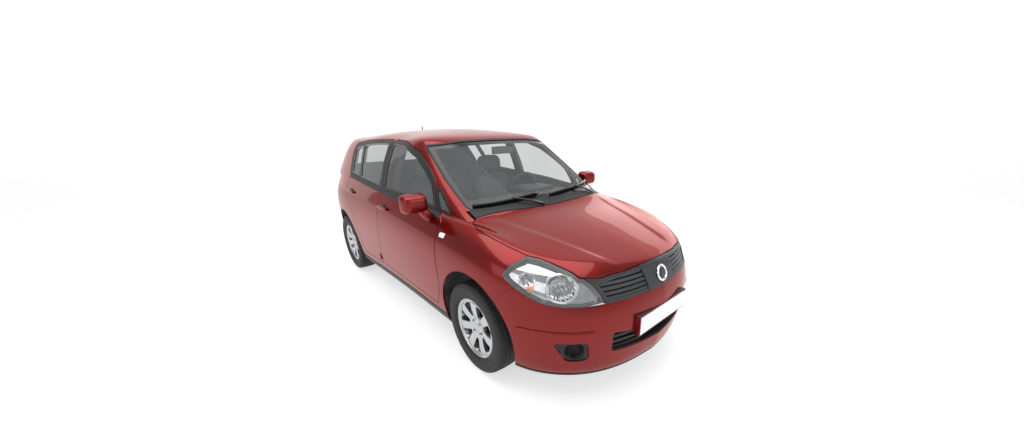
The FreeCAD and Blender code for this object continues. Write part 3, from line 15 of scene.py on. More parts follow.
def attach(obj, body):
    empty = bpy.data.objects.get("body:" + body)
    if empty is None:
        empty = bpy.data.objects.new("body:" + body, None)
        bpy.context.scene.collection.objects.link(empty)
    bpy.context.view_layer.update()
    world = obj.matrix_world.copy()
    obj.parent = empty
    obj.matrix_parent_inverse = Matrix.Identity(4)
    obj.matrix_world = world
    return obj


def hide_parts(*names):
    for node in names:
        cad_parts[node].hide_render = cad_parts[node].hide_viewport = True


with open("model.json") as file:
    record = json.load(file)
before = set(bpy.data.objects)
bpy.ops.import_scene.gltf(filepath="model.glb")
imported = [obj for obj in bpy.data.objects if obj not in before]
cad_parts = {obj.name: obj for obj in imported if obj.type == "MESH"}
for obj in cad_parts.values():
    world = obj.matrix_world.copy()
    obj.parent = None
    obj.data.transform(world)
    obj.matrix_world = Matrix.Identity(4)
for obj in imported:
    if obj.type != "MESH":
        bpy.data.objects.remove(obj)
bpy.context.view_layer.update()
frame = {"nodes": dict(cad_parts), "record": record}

nodes = frame["nodes"]

# %% [markdown]
# The painted body of a car is pressed from sheets that together follow one smooth form. A designer
# draws that form first and cuts the panels out of it, so that a highlight runs on from door to door
# across the gaps. The same is done here. The form of the left half is one net of control points, a
# bicubic B-spline surface, with each row of the net running from the nose round the flank to the tail.
# Every share is of half the length, half the width or the height.

# %% The car's driving sizes and the rows of its body
HALF_LENGTH = 2.150
HALF_WIDTH = 0.8475
HEIGHT = 1.535
WHEELBASE = 2.600
FRONT_OVERHANG = 0.8725
FRONT_AXLE = HALF_LENGTH - FRONT_OVERHANG
REAR_AXLE = FRONT_AXLE - WHEELBASE
AXLE_LEVEL = 0.311
ARCH_RISE = 0.022
BASE_LEVEL_SHARE = 0.073

SKIN_SHARES = [
    ("base", 0.930, None, 2.30, 0.619, 0.880, None, 0.860, None, -0.581, 0.880, None, -0.935, None, 2.3),
    ("lip", 0.976, 0.094, 2.35, 0.619, 0.955, 0.124, 0.927, 0.128, -0.581, 0.950, 0.134, -0.970, 0.150, 2.5),
    ("low", 0.988, 0.168, 2.40, 0.619, 0.982, 0.195, 0.951, 0.195, -0.581, 0.975, 0.199, -0.986, 0.218, 2.6),
    ("bmid", 1.000, 0.267, 2.45, 0.619, 0.992, 0.274, 0.972, 0.274, -0.581, 0.989, 0.280, -1.002, 0.303, 2.7),
    ("btop", 1.000, 0.352, 2.45, 0.619, 1.001, 0.358, 0.989, 0.358, -0.581, 0.998, 0.365, -1.004, 0.381, 2.7),
    ("grille", 0.990, 0.404, 2.40, 0.619, 1.003, 0.436, 0.998, 0.436, -0.581, 1.003, 0.443, -0.987, 0.443, 2.7),
    ("lamp", 0.979, 0.450, 2.35, 0.619, 0.994, 0.508, 0.999, 0.508, -0.581, 1.003, 0.521, -0.981, 0.515, 2.7),
    ("shoulder", 0.970, 0.485, 2.30, 0.619, 0.953, 0.564, 0.986, 0.573, -0.581, 0.989, 0.596, -0.970, 0.580,
     2.6),
    ("belt_low", 0.957, 0.507, 2.20, 0.619, 0.887, 0.594, 0.953, 0.624, -0.581, 0.949, 0.659, -0.954, 0.635,
     2.5),
    ("belt_high", 0.935, 0.521, 2.15, 0.619, 0.840, 0.606, 0.935, 0.651, -0.581, 0.923, 0.688, -0.945, 0.671,
     2.5),
    ("hood_front", 0.870, None, 2.30, 0.540, 0.826, 0.622, 0.926, 0.659, -0.586, 0.913, 0.696, -0.940, 0.681,
     2.6),
    ("hood_middle", 0.758, None, 2.60, 0.507, 0.817, 0.627, 0.920, 0.666, -0.595, 0.906, 0.702, -0.936,
     0.692, 2.8),
    ("hood_rear", 0.651, None, 2.90, 0.470, 0.819, 0.631, 0.916, 0.672, -0.600, 0.900, 0.709, -0.931, 0.702,
     3.0),
    ("cowl", 0.584, 0.629, 3.10, 0.428, 0.833, 0.635, 0.910, 0.681, -0.605, 0.893, 0.717, -0.927, 0.714, 3.0),
    ("screen_foot", 0.556, 0.646, 3.10, 0.363, 0.844, 0.658, 0.901, 0.694, -0.605, 0.883, 0.728, -0.920,
     0.730, 3.0),
    ("glass_low", 0.479, 0.717, 3.30, 0.242, 0.852, 0.723, 0.876, 0.743, -0.595, 0.857, 0.762, -0.905, 0.769,
     3.0),
    ("glass_mid", 0.372, 0.816, 3.60, 0.116, 0.824, 0.803, 0.838, 0.809, -0.581, 0.814, 0.818, -0.874, 0.837,
     3.0),
    ("glass_top", 0.274, 0.904, 4.00, 0.023, 0.773, 0.875, 0.783, 0.883, -0.558, 0.765, 0.875, -0.833, 0.902,
     3.0),
    ("rail", 0.223, 0.946, 4.40, 0.009, 0.734, 0.924, 0.741, 0.930, -0.535, 0.722, 0.917, -0.807, 0.932, 3.0),
    ("roof_edge", 0.177, 0.965, 4.20, -0.009, 0.684, 0.945, 0.690, 0.960, -0.535, 0.667, 0.943, -0.772,
     0.946, 3.0),
    ("roof_outer", 0.070, None, 3.40, -0.047, 0.496, None, 0.496, None, -0.465, 0.472, None, -0.688, None, 2.6),
    ("roof_inner", -0.023, None, 2.80, -0.093, 0.248, None, 0.248, None, -0.419, 0.236, None, -0.605, None,
     2.4),
    ("roof_middle", -0.070, None, 2.60, -0.116, 0.0, None, 0.0, None, -0.395, 0.0, None, -0.558, None, 2.4),
]
HOOD_CREST_SHARES = [(0.456, 0.653), (0.535, 0.638), (0.605, 0.623), (0.698, 0.603), (0.791, 0.576),
                     (0.884, 0.543), (0.944, 0.515), (0.977, 0.492)]
HOOD_FALL_SHARES = [(0.456, 0.023), (0.594, 0.023), (0.767, 0.027), (0.837, 0.042), (0.886, 0.064),
                    (0.926, 0.081), (0.961, 0.098), (0.986, 0.111)]
ROOF_CREST_SHARES = [(-0.814, 0.933), (-0.698, 0.956), (-0.465, 0.985), (-0.186, 1.001), (0.0, 0.997),
                     (0.116, 0.982), (0.223, 0.958)]
HOOD_HALF_SHARE = 0.826
ROOF_HALF_SHARE = 0.690
ROOF_FALL_SHARE = 0.034
CROWN_POWER = 2.2
FAN = np.radians([0, 10, 24, 40, 57, 74, 90])
SIDE_SHARES = np.arange(1, 6) / 6


def along(table, share):
    """The table's second column, read off between its rows."""
    return np.interp(share, *np.array(table).T)


def hood_share(x, y):
    """Height of the hood: its crest less a fall that grows with the distance from the middle."""
    return along(HOOD_CREST_SHARES, x) - along(HOOD_FALL_SHARES, x) * (y / HOOD_HALF_SHARE) ** CROWN_POWER


def roof_share(x, y):
    """Height of the roof, in the same way, with one fall for its whole length."""
    return along(ROOF_CREST_SHARES, x) - ROOF_FALL_SHARE * (y / ROOF_HALF_SHARE) ** CROWN_POWER


def net_row(name, xf, zf, nf, xs, ws, zs, wm, zm, xb, wb, zb, xr, zr, nr):
    """One row: a superellipse quarter at the nose, a flank, and a superellipse quarter at the tail."""
    base = name == "base"
    roof = zs is None and not base
    hood = zf is None and not roof and not base
    c, s = np.cos(FAN) ** (2 / nf), np.sin(FAN) ** (2 / nf)
    x, y = xs + (xf - xs) * c, ws * s
    if base or roof:
        z = roof_share(x, y) if roof else x * 0
    elif hood:
        z = hood_share(x, y)
        z[-1] = zs
        z[-2] = (z[-2] + zs) / 2
    else:
        z = zs + (zf - zs) * (c ** 0.8 if nf > 3.05 else c)
    nose = np.stack([x, y, z], 1)
    x = xs + (xb - xs) * SIDE_SHARES
    if xs < 0.06:
        y = np.interp(SIDE_SHARES, [0, 0.5, 1], [ws, wm, wb])
        z = roof_share(x, y) if roof else (x * 0 if base else np.interp(SIDE_SHARES, [0, 0.5, 1], [zs, zm, zb]))
    else:
        reach = np.where(x > 0, x / xs, x / xb)
        y = wm + (np.where(x > 0, ws, wb) - wm) * reach ** 1.5
        z = x * 0 if base else zm + (np.where(x > 0, zs, zb) - zm) * reach
    flank = np.stack([x, y, z], 1)
    c, s = np.cos(FAN[::-1]) ** (2 / nr), np.sin(FAN[::-1]) ** (2 / nr)
    x, y = xb + (xr - xb) * c, wb * s
    z = x * 0 if base else (roof_share(x, y) if roof else zb + (zr - zb) * c)
    row = np.concatenate([nose, flank, np.stack([x, y, z], 1)])
    if base:
        row[:, 2] = BASE_LEVEL_SHARE
    return row * (HALF_LENGTH, HALF_WIDTH, HEIGHT)


NET = np.array([net_row(*row) for row in SKIN_SHARES])
ROWS, COLUMNS = NET.shape[:2]
TOP, TAIL = ROWS - 3, COLUMNS - 3
print("net:", NET.shape)


def basis(count, t):
    """Cubic B-spline weights of all control points at each t, by the Cox-de Boor recursion."""
    knots = np.concatenate([[0] * 3, np.arange(count - 2), [count - 3] * 3]).astype(float)
    t = np.clip(t, 0, count - 3 - 1e-9)[:, None]
    weight = ((knots[:-1] <= t) & (t < knots[1:])).astype(float)
    for degree in (1, 2, 3):
        rise = np.maximum(knots[degree:-1] - knots[:-degree - 1], 1e-9)
        fall = np.maximum(knots[degree + 1:] - knots[1:-degree], 1e-9)
        weight = weight[:, :-1] * (t - knots[:-degree - 1]) / rise + weight[:, 1:] * (knots[degree + 1:]
                                                                                      - t) / fall
    return weight


def skin(uv):
    """Points of the body's form: the net weighted by both bases, at rows u and columns v."""
    down = (basis(ROWS, uv[:, 0]) @ NET.reshape(ROWS, -1)).reshape(len(uv), COLUMNS, 3)
    return np.einsum("nj,njk->nk", basis(COLUMNS, uv[:, 1]), down)


def unit(vectors):
    """Each vector at length one."""
    return vectors / np.maximum(np.linalg.norm(vectors, axis=-1, keepdims=True), 1e-12)


STEP = 2e-3


def normals_of(surface, uv):
    """Outward normals: the cross product of the surface's two slopes, by central differences."""
    low, high = np.array([0, 0]), np.array([TOP, TAIL])
    du, dv = np.array([STEP, 0]), np.array([0, STEP])
    across = surface(np.clip(uv + dv, low, high)) - surface(np.clip(uv - dv, low, high))
    up = surface(np.clip(uv + du, low, high)) - surface(np.clip(uv - du, low, high))
    normal = unit(np.cross(across, up))
    on_seam = np.abs(surface(uv)[:, 1]) < 1e-6
    normal[on_seam, 1] = 0
    return unit(normal)


# %% [markdown]
# A panel is the part of that form that lies inside an outline. An outline is drawn in the side, top or
# end view with rounded corners, and turned into a distance: positive inside, negative outside. Cutting
# a fine grid of triangles where the distance is zero gives a clean edge, and a distance can be grown or
# shrunk by a gap's width without drawing it again.

# %% Outlines and distances
def rounded(points, radius, steps=7):
    """A closed outline whose corners are arcs, each no larger than its two sides allow."""
    points = np.asarray(points, float)
    before, after = np.roll(points, 1, 0) - points, np.roll(points, -1, 0) - points
    room = 0.45 * np.minimum(np.linalg.norm(before, axis=1), np.linalg.norm(after, axis=1))
    before, after = unit(before), unit(after)
    half = np.arccos(np.clip((before * after).sum(1), -1, 1)) / 2
    reach = np.minimum(radius / np.maximum(np.tan(half), 1e-6), room)[:, None]
    start, end = points + before * reach, points + after * reach
    t = np.linspace(0, 1, steps)[None, :, None]
    arcs = (1 - t) ** 2 * start[:, None] + 2 * t * (1 - t) * (points[:, None] * 0.94 + 0.03
                                                              * (start + end)[:, None])
    return (arcs + t ** 2 * end[:, None]).reshape(-1, 2)


def inside(outline, flat):
    """Signed distance of flat points to a closed outline, by the nearest side and the crossing rule."""
    best = np.full(len(flat), 1e9)
    odd = np.zeros(len(flat), bool)
    for a, b in zip(outline, np.roll(outline, -1, 0)):
        side = b - a
        t = np.clip((flat - a) @ side / max(side @ side, 1e-12), 0, 1)
        best = np.minimum(best, np.linalg.norm(flat - a - t[:, None] * side, axis=1))
        if a[1] != b[1]:
            crosses = (a[1] > flat[:, 1]) != (b[1] > flat[:, 1])
            odd ^= crosses & (flat[:, 0] < (b[0] - a[0]) * (flat[:, 1] - a[1]) / (b[1] - a[1]) + a[0])
    return np.where(odd, best, -best)


DOOR_DRAFT = 0.25


def side_view(shares, radius=0.0, draft=0.0):
    """Distance to an outline seen from the side, of x, y and z shares that lie on the form."""
    rows = np.array([s if len(s) == 3 else (s[0], 1.0, s[1]) for s in shares])
    flat = np.stack([rows[:, 0] * HALF_LENGTH + draft * (rows[:, 1] - 1) * HALF_WIDTH, rows[:, 2] * HEIGHT], 1)
    outline = rounded(flat, radius) if radius else flat
    return lambda p: inside(outline, np.stack([p[:, 0] + draft * (p[:, 1] - HALF_WIDTH), p[:, 2]], 1))


def top_view(shares, radius=0.0):
    """Distance to an outline seen from above."""
    flat = np.array(shares) * (HALF_LENGTH, HALF_WIDTH)
    outline = rounded(flat, radius) if radius else flat
    return lambda p: inside(outline, p[:, :2])


def end_view(shares, radius=0.0):
    """Distance to an outline seen from the front or the back."""
    flat = np.array(shares) * (HALF_WIDTH, HEIGHT)
    outline = rounded(flat, radius) if radius else flat
    return lambda p: inside(outline, p[:, 1:])


def grown(zone, width):
    """The zone made larger by width on every side."""
    return lambda p: zone(p) + width


def without(zone):
    """Everything outside the zone."""
    return lambda p: -zone(p)


def both(*zones):
    """What lies in all of the zones."""
    return lambda p: np.min([zone(p) for zone in zones], axis=0)


def either(*zones):
    """What lies in any of the zones."""
    return lambda p: np.max([zone(p) for zone in zones], axis=0)


def beyond(axis, value, sign=1):
    """Everything past a plane."""
    return lambda p: sign * (p[:, axis] - value)


# %% [markdown]
# Cutting triangles: one with all three corners inside stays, one with none goes, and the rest are cut
# along the line where the distance passes zero. The crossing on each edge is found by halving, on the
# curved form itself and not along the straight edge, so the cut follows the outline closely.

# %% Cut a sheet and fold its edge
HALVINGS = 14


def trim(uv, corners, place, zone):
    """The triangles of a sheet that lie where zone is above zero, with new points on the border."""
    hit = zone(place(uv)) > 0
    count = hit[corners].sum(1)
    kept = corners[count == 3]
    cut = corners[(count == 1) | (count == 2)]
    if not len(cut):
        return uv, kept
    single = (hit[cut].sum(1) == 1)[:, None]
    first = np.argmax(hit[cut] == single, 1)
    order = (first[:, None] + np.arange(3)) % 3
    a, b, c = np.take_along_axis(cut, order, 1).T
    edges = np.sort(np.concatenate([np.stack([a, b], 1), np.stack([a, c], 1)]), 1)
    edges, where = np.unique(edges, axis=0, return_inverse=True)
    where = where.reshape(-1) + len(uv)
    ab, ac = where[:len(a)], where[len(a):]
    swap = ~hit[edges[:, 0]]
    edges[swap] = edges[swap][:, ::-1]
    near, far = uv[edges[:, 0]], uv[edges[:, 1]]
    for _ in range(HALVINGS):
        middle = (near + far) / 2
        good = (zone(place(middle)) > 0)[:, None]
        near, far = np.where(good, middle, near), np.where(good, far, middle)
    one = single[:, 0]
    parts = [kept, np.stack([a, ab, ac], 1)[one], np.stack([ab, b, c], 1)[~one], np.stack([ab, c, ac], 1)[~one]]
    return np.concatenate([uv, (near + far) / 2]), np.concatenate(parts)


def packed(uv, corners):
    """The same sheet without the points that no triangle uses."""
    used, where = np.unique(corners, return_inverse=True)
    return uv[used], where.reshape(corners.shape)


def borders(corners):
    """Edges that belong to one triangle only, in that triangle's direction."""
    edges = np.concatenate([corners[:, [0, 1]], corners[:, [1, 2]], corners[:, [2, 0]]])
    _, where, count = np.unique(np.sort(edges, 1), axis=0, return_inverse=True, return_counts=True)
    return edges[count[where.reshape(-1)] == 1]


def folded(points, normals, corners, edges, radius, depth):
    """Adds the pressed edge of a panel: a quarter round of the given radius and a flange behind it."""
    ring = np.unique(edges)
    if not len(ring) or depth <= 0:
        return points, normals, corners
    place = np.searchsorted(ring, edges)
    travel = np.zeros((len(ring), 3))
    run = points[edges[:, 1]] - points[edges[:, 0]]
    np.add.at(travel, place[:, 0], run)
    np.add.at(travel, place[:, 1], run)
    lift = normals[ring]
    out = unit(np.cross(unit(travel), lift))
    turns = np.radians([35, 65, 90])
    rows = [(points[ring] - lift * radius + (lift * math.cos(t) + out * math.sin(t)) * radius,
             lift * math.cos(t) + out * math.sin(t)) for t in turns]
    rows.append((points[ring] + out * radius - lift * depth, out))
    made = [corners]
    last = ring
    for i in range(len(rows)):
        new = len(points) + i * len(ring) + np.arange(len(ring))
        a, b = last[place[:, 0]], last[place[:, 1]]
        c, d = new[place[:, 1]], new[place[:, 0]]
        made += [np.stack([b, a, d], 1), np.stack([b, d, c], 1)]
        last = new
    points = np.concatenate([points] + [r[0] for r in rows])
    normals = np.concatenate([normals] + [r[1] for r in rows])
    return points, normals, np.concatenate(made)


def make_mesh(name, points, corners, normals=None, uv=None, material=None, body=None):
    """A mesh object from whole arrays. Given normals replace the ones that Blender would work out."""
    mesh = bpy.data.meshes.new(name)
    corners = np.asarray(corners, np.int32)
    sides = corners.shape[1]
    mesh.vertices.add(len(points))
    mesh.vertices.foreach_set("co", np.asarray(points, np.float32).ravel())
    mesh.loops.add(corners.size)
    mesh.loops.foreach_set("vertex_index", corners.ravel())
    mesh.polygons.add(len(corners))
    mesh.polygons.foreach_set("loop_start", np.arange(0, corners.size, sides, dtype=np.int32))
    mesh.polygons.foreach_set("use_smooth", np.ones(len(corners), bool))
    if uv is not None:
        layer = mesh.uv_layers.new(name="surface")
        layer.data.foreach_set("uv", np.asarray(uv, np.float32)[corners.ravel()].ravel())
    mesh.update(calc_edges=True)
    mesh.validate()
    if normals is not None:
        mesh.normals_split_custom_set_from_vertices(np.asarray(normals, np.float32))
    piece = bpy.data.objects.new(name, mesh)
    bpy.context.scene.collection.objects.link(piece)
    if material:
        mesh.materials.append(material)
    if body:
        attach(piece, body)
    return piece


COARSE = 10


def spread(line, spacing, low, high):
    """Values from low to high that stand evenly along a line, given its length at each whole value."""
    t = np.linspace(low, high, max(3, int(math.ceil((high - low) * COARSE)) + 1))
    run = np.interp(t, line[0], line[1])
    count = max(3, int(math.ceil((run[-1] - run[0]) / spacing)) + 1)
    return np.interp(np.linspace(run[0], run[-1], count), run, t)


def form_grid():
    """A coarse reading of the form, and how far each row and column lies along it."""
    u, v = np.linspace(0, TOP, TOP * COARSE + 1), np.linspace(0, TAIL, TAIL * COARSE + 1)
    pairs = np.stack(np.meshgrid(u, v, indexing="ij"), -1).reshape(-1, 2)
    points = skin(pairs)
    lattice = points.reshape(len(u), len(v), 3)
    rows = np.linalg.norm(np.diff(lattice, axis=0), axis=2)
    columns = np.linalg.norm(np.diff(lattice, axis=1), axis=2)
    u_run = np.concatenate([[0], np.cumsum(np.percentile(rows, 80, axis=1))])
    v_run = np.concatenate([[0], np.cumsum(np.percentile(columns, 80, axis=0))])
    return pairs, points, (u, u_run), (v, v_run)


FORM_UV, FORM_POINTS, U_LINE, V_LINE = form_grid()


def sheet_in(zones, spacing):
    """A grid of triangles over the smallest part of the form that the zones touch."""
    zone = both(*zones)
    hit = FORM_UV[zone(FORM_POINTS) > -0.05]
    low, high = np.maximum(hit.min(0) - 0.1, 0), np.minimum(hit.max(0) + 0.1, (TOP, TAIL))
    u, v = spread(U_LINE, spacing, low[0], high[0]), spread(V_LINE, spacing, low[1], high[1])
    uv = np.stack(np.meshgrid(u, v, indexing="ij"), -1).reshape(-1, 2)
    i = (np.arange(len(u) - 1)[:, None] * len(v) + np.arange(len(v) - 1)).ravel()
    corners = np.concatenate([np.stack([i, i + 1, i + len(v) + 1], 1),
                              np.stack([i, i + len(v) + 1, i + len(v)], 1)])
    return uv, corners


LAYER = 0.0012
FOLD = 0.0012
FLANGE = 0.011


def panel(name, body, material, zones, lift=None, level=LAYER, spacing=0.018, fold=FOLD, flange=FLANGE,
          sides="both", slot="paint", replace=()):
    """A pressed panel: the form inside the zones, raised by level and by lift, with folded edges.

    sides is left, right or both, where both is one mesh that is joined along the middle of the car.
    """
    uv, corners = sheet_in(zones, spacing)
    for zone in zones:
        uv, corners = trim(uv, corners, skin, zone)
        uv, corners = packed(uv, corners)

    def raised(where):
        points = skin(where)
        rise = np.full(len(points), level) + (lift(points) if lift else 0)
        return points + normals_of(skin, where) * rise[:, None]

    points = raised(uv)
    normals = normals_of(raised, uv) if lift else normals_of(skin, uv)
    seam = np.abs(points[:, 1]) < 1e-4
    points[seam, 1] = 0
    edges = borders(corners)
    edges = edges[~seam[edges].all(1)]
    points, normals, corners = folded(points, normals, corners, edges, fold, flange)
    if sides == "right":
        points, normals, corners = points * (1, -1, 1), normals * (1, -1, 1), corners[:, ::-1]
    if sides == "both":
        on_seam = np.concatenate([seam, np.zeros(len(points) - len(seam), bool)])
        other = np.where(on_seam, np.arange(len(points)), len(points) + np.cumsum(~on_seam) - 1)
        points = np.concatenate([points, points[~on_seam] * (1, -1, 1)])
        normals = np.concatenate([normals, normals[~on_seam] * (1, -1, 1)])
        corners = np.concatenate([corners, other[corners][:, ::-1]])
    piece = make_mesh(name, points, corners, normals, material=material, body=body)
    if replace:
        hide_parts(*replace)
    print(name, len(corners), "triangles")
    return piece



# %% [markdown]
# Materials come next, because each piece is given its finish as it is made. Effects that several
# finishes share, such as a fine grain or a cloudy change of tone, are node groups, built once.
# They read Object coordinates, which are metres on this car, so a scale of 400 means grains 2.5 mm
# apart wherever the piece sits.

# %% Shared effects
def group(name, inputs, outputs):
    """An empty node group with named float, colour or vector sockets."""
    tree = bpy.data.node_groups.new(name, "ShaderNodeTree")
    for title, kind, value in inputs:
        socket = tree.interface.new_socket(title, in_out="INPUT", socket_type="NodeSocket" + kind)
        if value is not None:
            socket.default_value = value
    for title, kind in outputs:
        tree.interface.new_socket(title, in_out="OUTPUT", socket_type="NodeSocket" + kind)
    return tree, tree.nodes.new("NodeGroupInput"), tree.nodes.new("NodeGroupOutput")


def grain_group():
    """Fine grain: noise raised to a height, for the Height of a Bump, and a mask that varies with it."""
    tree, start, end = group("grain", [("Scale", "Float", 400.0), ("Amount", "Float", 0.2)],
                             [("Normal", "Vector"), ("Mask", "Float")])
    place = tree.nodes.new("ShaderNodeTexCoord")
    noise = tree.nodes.new("ShaderNodeTexNoise")
    bump = tree.nodes.new("ShaderNodeBump")
    bump.inputs["Distance"].default_value = 0.0006
    tree.links.new(place.outputs["Object"], noise.inputs["Vector"])
    tree.links.new(start.outputs["Scale"], noise.inputs["Scale"])
    tree.links.new(noise.outputs["Fac"], bump.inputs["Height"])
    tree.links.new(start.outputs["Amount"], bump.inputs["Strength"])
    tree.links.new(bump.outputs["Normal"], end.inputs["Normal"])
    tree.links.new(noise.outputs["Fac"], end.inputs["Mask"])
    return tree


def tone_group():
    """A cloudy change of tone: slow noise that mixes two colours, and a roughness that follows it."""
    tree, start, end = group("tone", [("Dark", "Color", (0, 0, 0, 1)), ("Light", "Color", (1, 1, 1, 1)),
                                      ("Scale", "Float", 4.0), ("Rough Low", "Float", 0.3),
                                      ("Rough High", "Float", 0.5)],
                             [("Color", "Color"), ("Roughness", "Float")])
    place = tree.nodes.new("ShaderNodeTexCoord")
    noise = tree.nodes.new("ShaderNodeTexNoise")
    noise.inputs["Detail"].default_value = 6.0
    mix = tree.nodes.new("ShaderNodeMix")
    mix.data_type = "RGBA"
    rough = tree.nodes.new("ShaderNodeMapRange")
    tree.links.new(place.outputs["Object"], noise.inputs["Vector"])
    tree.links.new(start.outputs["Scale"], noise.inputs["Scale"])
    tree.links.new(noise.outputs["Fac"], mix.inputs["Factor"])
    tree.links.new(start.outputs["Dark"], mix.inputs["A"])
    tree.links.new(start.outputs["Light"], mix.inputs["B"])
    tree.links.new(noise.outputs["Fac"], rough.inputs["Value"])
    tree.links.new(start.outputs["Rough Low"], rough.inputs["To Min"])
    tree.links.new(start.outputs["Rough High"], rough.inputs["To Max"])
    tree.links.new(mix.outputs["Result"], end.inputs["Color"])
    tree.links.new(rough.outputs["Result"], end.inputs["Roughness"])
    return tree


GRAIN, TONE = grain_group(), tone_group()

# %% [markdown]
# One function makes every ordinary finish: a Principled shader whose colour and roughness come from
# the tone group and whose surface comes from the grain group. What is the same all over the surface,
# such as the clear coat, is set on the shader's own sockets.

# %% Ordinary finishes
def finish(name, dark, light, rough=(0.4, 0.5), metallic=0.0, grain=(400.0, 0.1), tone=5.0, **sockets):
    """A material from two colours, a range of roughness and a grain."""
    made = bpy.data.materials.new(name)
    made.use_nodes = True
    tree = made.node_tree
    shader = tree.nodes["Principled BSDF"]
    shader.inputs["Metallic"].default_value = metallic
    for title, value in sockets.items():
        shader.inputs[title.replace("_", " ")].default_value = value
    colour = tree.nodes.new("ShaderNodeGroup")
    colour.node_tree = TONE
    colour.inputs["Dark"].default_value = (*dark, 1)
    colour.inputs["Light"].default_value = (*light, 1)
    colour.inputs["Scale"].default_value = tone
    colour.inputs["Rough Low"].default_value, colour.inputs["Rough High"].default_value = rough
    tree.links.new(colour.outputs["Color"], shader.inputs["Base Color"])
    tree.links.new(colour.outputs["Roughness"], shader.inputs["Roughness"])
    if grain[1]:
        surface = tree.nodes.new("ShaderNodeGroup")
        surface.node_tree = GRAIN
        surface.inputs["Scale"].default_value, surface.inputs["Amount"].default_value = grain
        tree.links.new(surface.outputs["Normal"], shader.inputs["Normal"])
    return made


def glass(name, tint, rough=0.0, alpha=0.3):
    """Thin clear glass: a see-through shader whose strength at a glancing angle is the gloss."""
    made = bpy.data.materials.new(name)
    made.use_nodes = True
    tree = made.node_tree
    shader = tree.nodes["Principled BSDF"]
    shader.inputs["Roughness"].default_value = rough
    shader.inputs["IOR"].default_value = 1.5
    noise = tree.nodes.new("ShaderNodeTexNoise")
    noise.inputs["Scale"].default_value = 3.0
    place = tree.nodes.new("ShaderNodeTexCoord")
    span = tree.nodes.new("ShaderNodeMapRange")
    span.inputs["To Min"].default_value, span.inputs["To Max"].default_value = alpha * 0.9, alpha * 1.1
    tree.links.new(place.outputs["Object"], noise.inputs["Vector"])
    tree.links.new(noise.outputs["Fac"], span.inputs["Value"])
    tree.links.new(span.outputs["Result"], shader.inputs["Alpha"])
    shader.inputs["Base Color"].default_value = (*tint, 1)
    return made


def paint_finish():
    """Metallic paint: a deep base under clear coat, with flakes that each lean their own way."""
    made = finish("paint", (0.180, 0.008, 0.007), (0.205, 0.010, 0.009), (0.30, 0.34), 0.85, (1, 0), 2.0,
                  Coat_Weight=0.6, Coat_Roughness=0.03, Coat_IOR=1.4, Specular_Tint=(0.85, 0.45, 0.42, 1))
    tree = made.node_tree
    shader = tree.nodes["Principled BSDF"]
    place = tree.nodes.new("ShaderNodeTexCoord")
    flakes = tree.nodes.new("ShaderNodeTexVoronoi")
    flakes.inputs["Scale"].default_value = 1500.0
    bump = tree.nodes.new("ShaderNodeBump")
    bump.inputs["Strength"].default_value = 0.06
    bump.inputs["Distance"].default_value = 0.0002
    tree.links.new(place.outputs["Object"], flakes.inputs["Vector"])
    tree.links.new(flakes.outputs["Distance"], bump.inputs["Height"])
    tree.links.new(bump.outputs["Normal"], shader.inputs["Normal"])
    return made


PAINT = paint_finish()
BLACK_TRIM = finish("black_trim", (0.010, 0.010, 0.011), (0.018, 0.018, 0.019), (0.42, 0.55), 0, (900, 0.12),
                    Specular_IOR_Level=0.3)
GLOSS_BLACK = finish("gloss_black", (0.006, 0.006, 0.007), (0.010, 0.010, 0.011), (0.12, 0.2), 0, (900, 0.02))
CHARCOAL = finish("charcoal", (0.030, 0.031, 0.034), (0.042, 0.043, 0.046), (0.35, 0.42), 0.2, (900, 0.05),
                  Specular_IOR_Level=0.35)
CHASSIS = finish("chassis_paint", (0.012, 0.012, 0.013), (0.030, 0.029, 0.028), (0.5, 0.7), 0, (250, 0.2), 9.0)
STEEL = finish("dull_steel", (0.20, 0.19, 0.18), (0.36, 0.35, 0.34), (0.35, 0.55), 1.0, (300, 0.1), 12.0)
CAST = finish("cast_metal", (0.22, 0.22, 0.23), (0.36, 0.36, 0.37), (0.45, 0.6), 0.9, (260, 0.3), 8.0)
CABIN_DARK = finish("cabin_plastic_dark", (0.030, 0.030, 0.032), (0.045, 0.045, 0.047), (0.55, 0.65), 0,
                    (1200, 0.25))
TYRE_RUBBER = finish("tyre_rubber", (0.014, 0.014, 0.015), (0.026, 0.026, 0.027), (0.55, 0.7), 0, (500, 0.2),
                     10.0, Specular_IOR_Level=0.3)
ALLOY = finish("alloy_paint", (0.44, 0.45, 0.46), (0.50, 0.51, 0.52), (0.24, 0.30), 0.85, (1500, 0.03), 3.0,
               Coat_Weight=0.6, Coat_Roughness=0.06)
CHROME = finish("bright_metal", (0.82, 0.83, 0.85), (0.90, 0.91, 0.92), (0.04, 0.07), 1.0, (1, 0))
PLATE_WHITE = finish("plate_white", (0.80, 0.80, 0.80), (0.86, 0.86, 0.86), (0.25, 0.3), 0, (900, 0.02))
WINDOW = glass("window_glass", (0.20, 0.22, 0.22), 0.0, 0.42)
SCREEN = glass("screen_glass", (0.45, 0.50, 0.50), 0.0, 0.14)
LENS = glass("clear_lens", (0.85, 0.88, 0.90), 0.0, 0.10)
RED_LENS = glass("red_lens", (0.55, 0.01, 0.01), 0.03, 0.75)
AMBER_LENS = glass("amber_lens", (0.9, 0.28, 0.02), 0.03, 0.6)
print("finishes:", len(bpy.data.materials))


# %% [markdown]
# The outlines below are the shut lines of the real car, as shares of its half length, half width and
# height. A panel that opens is trimmed at its own line, and what lies next to it is trimmed a running
# gap further out, so that the gap is the same all the way along.

# %% Outlines of the panels
GAP = 0.007
SHUT = 0.0022
CORNER = 0.038
GLASS_CORNER = 0.024
ARCH_RADIUS = 0.372

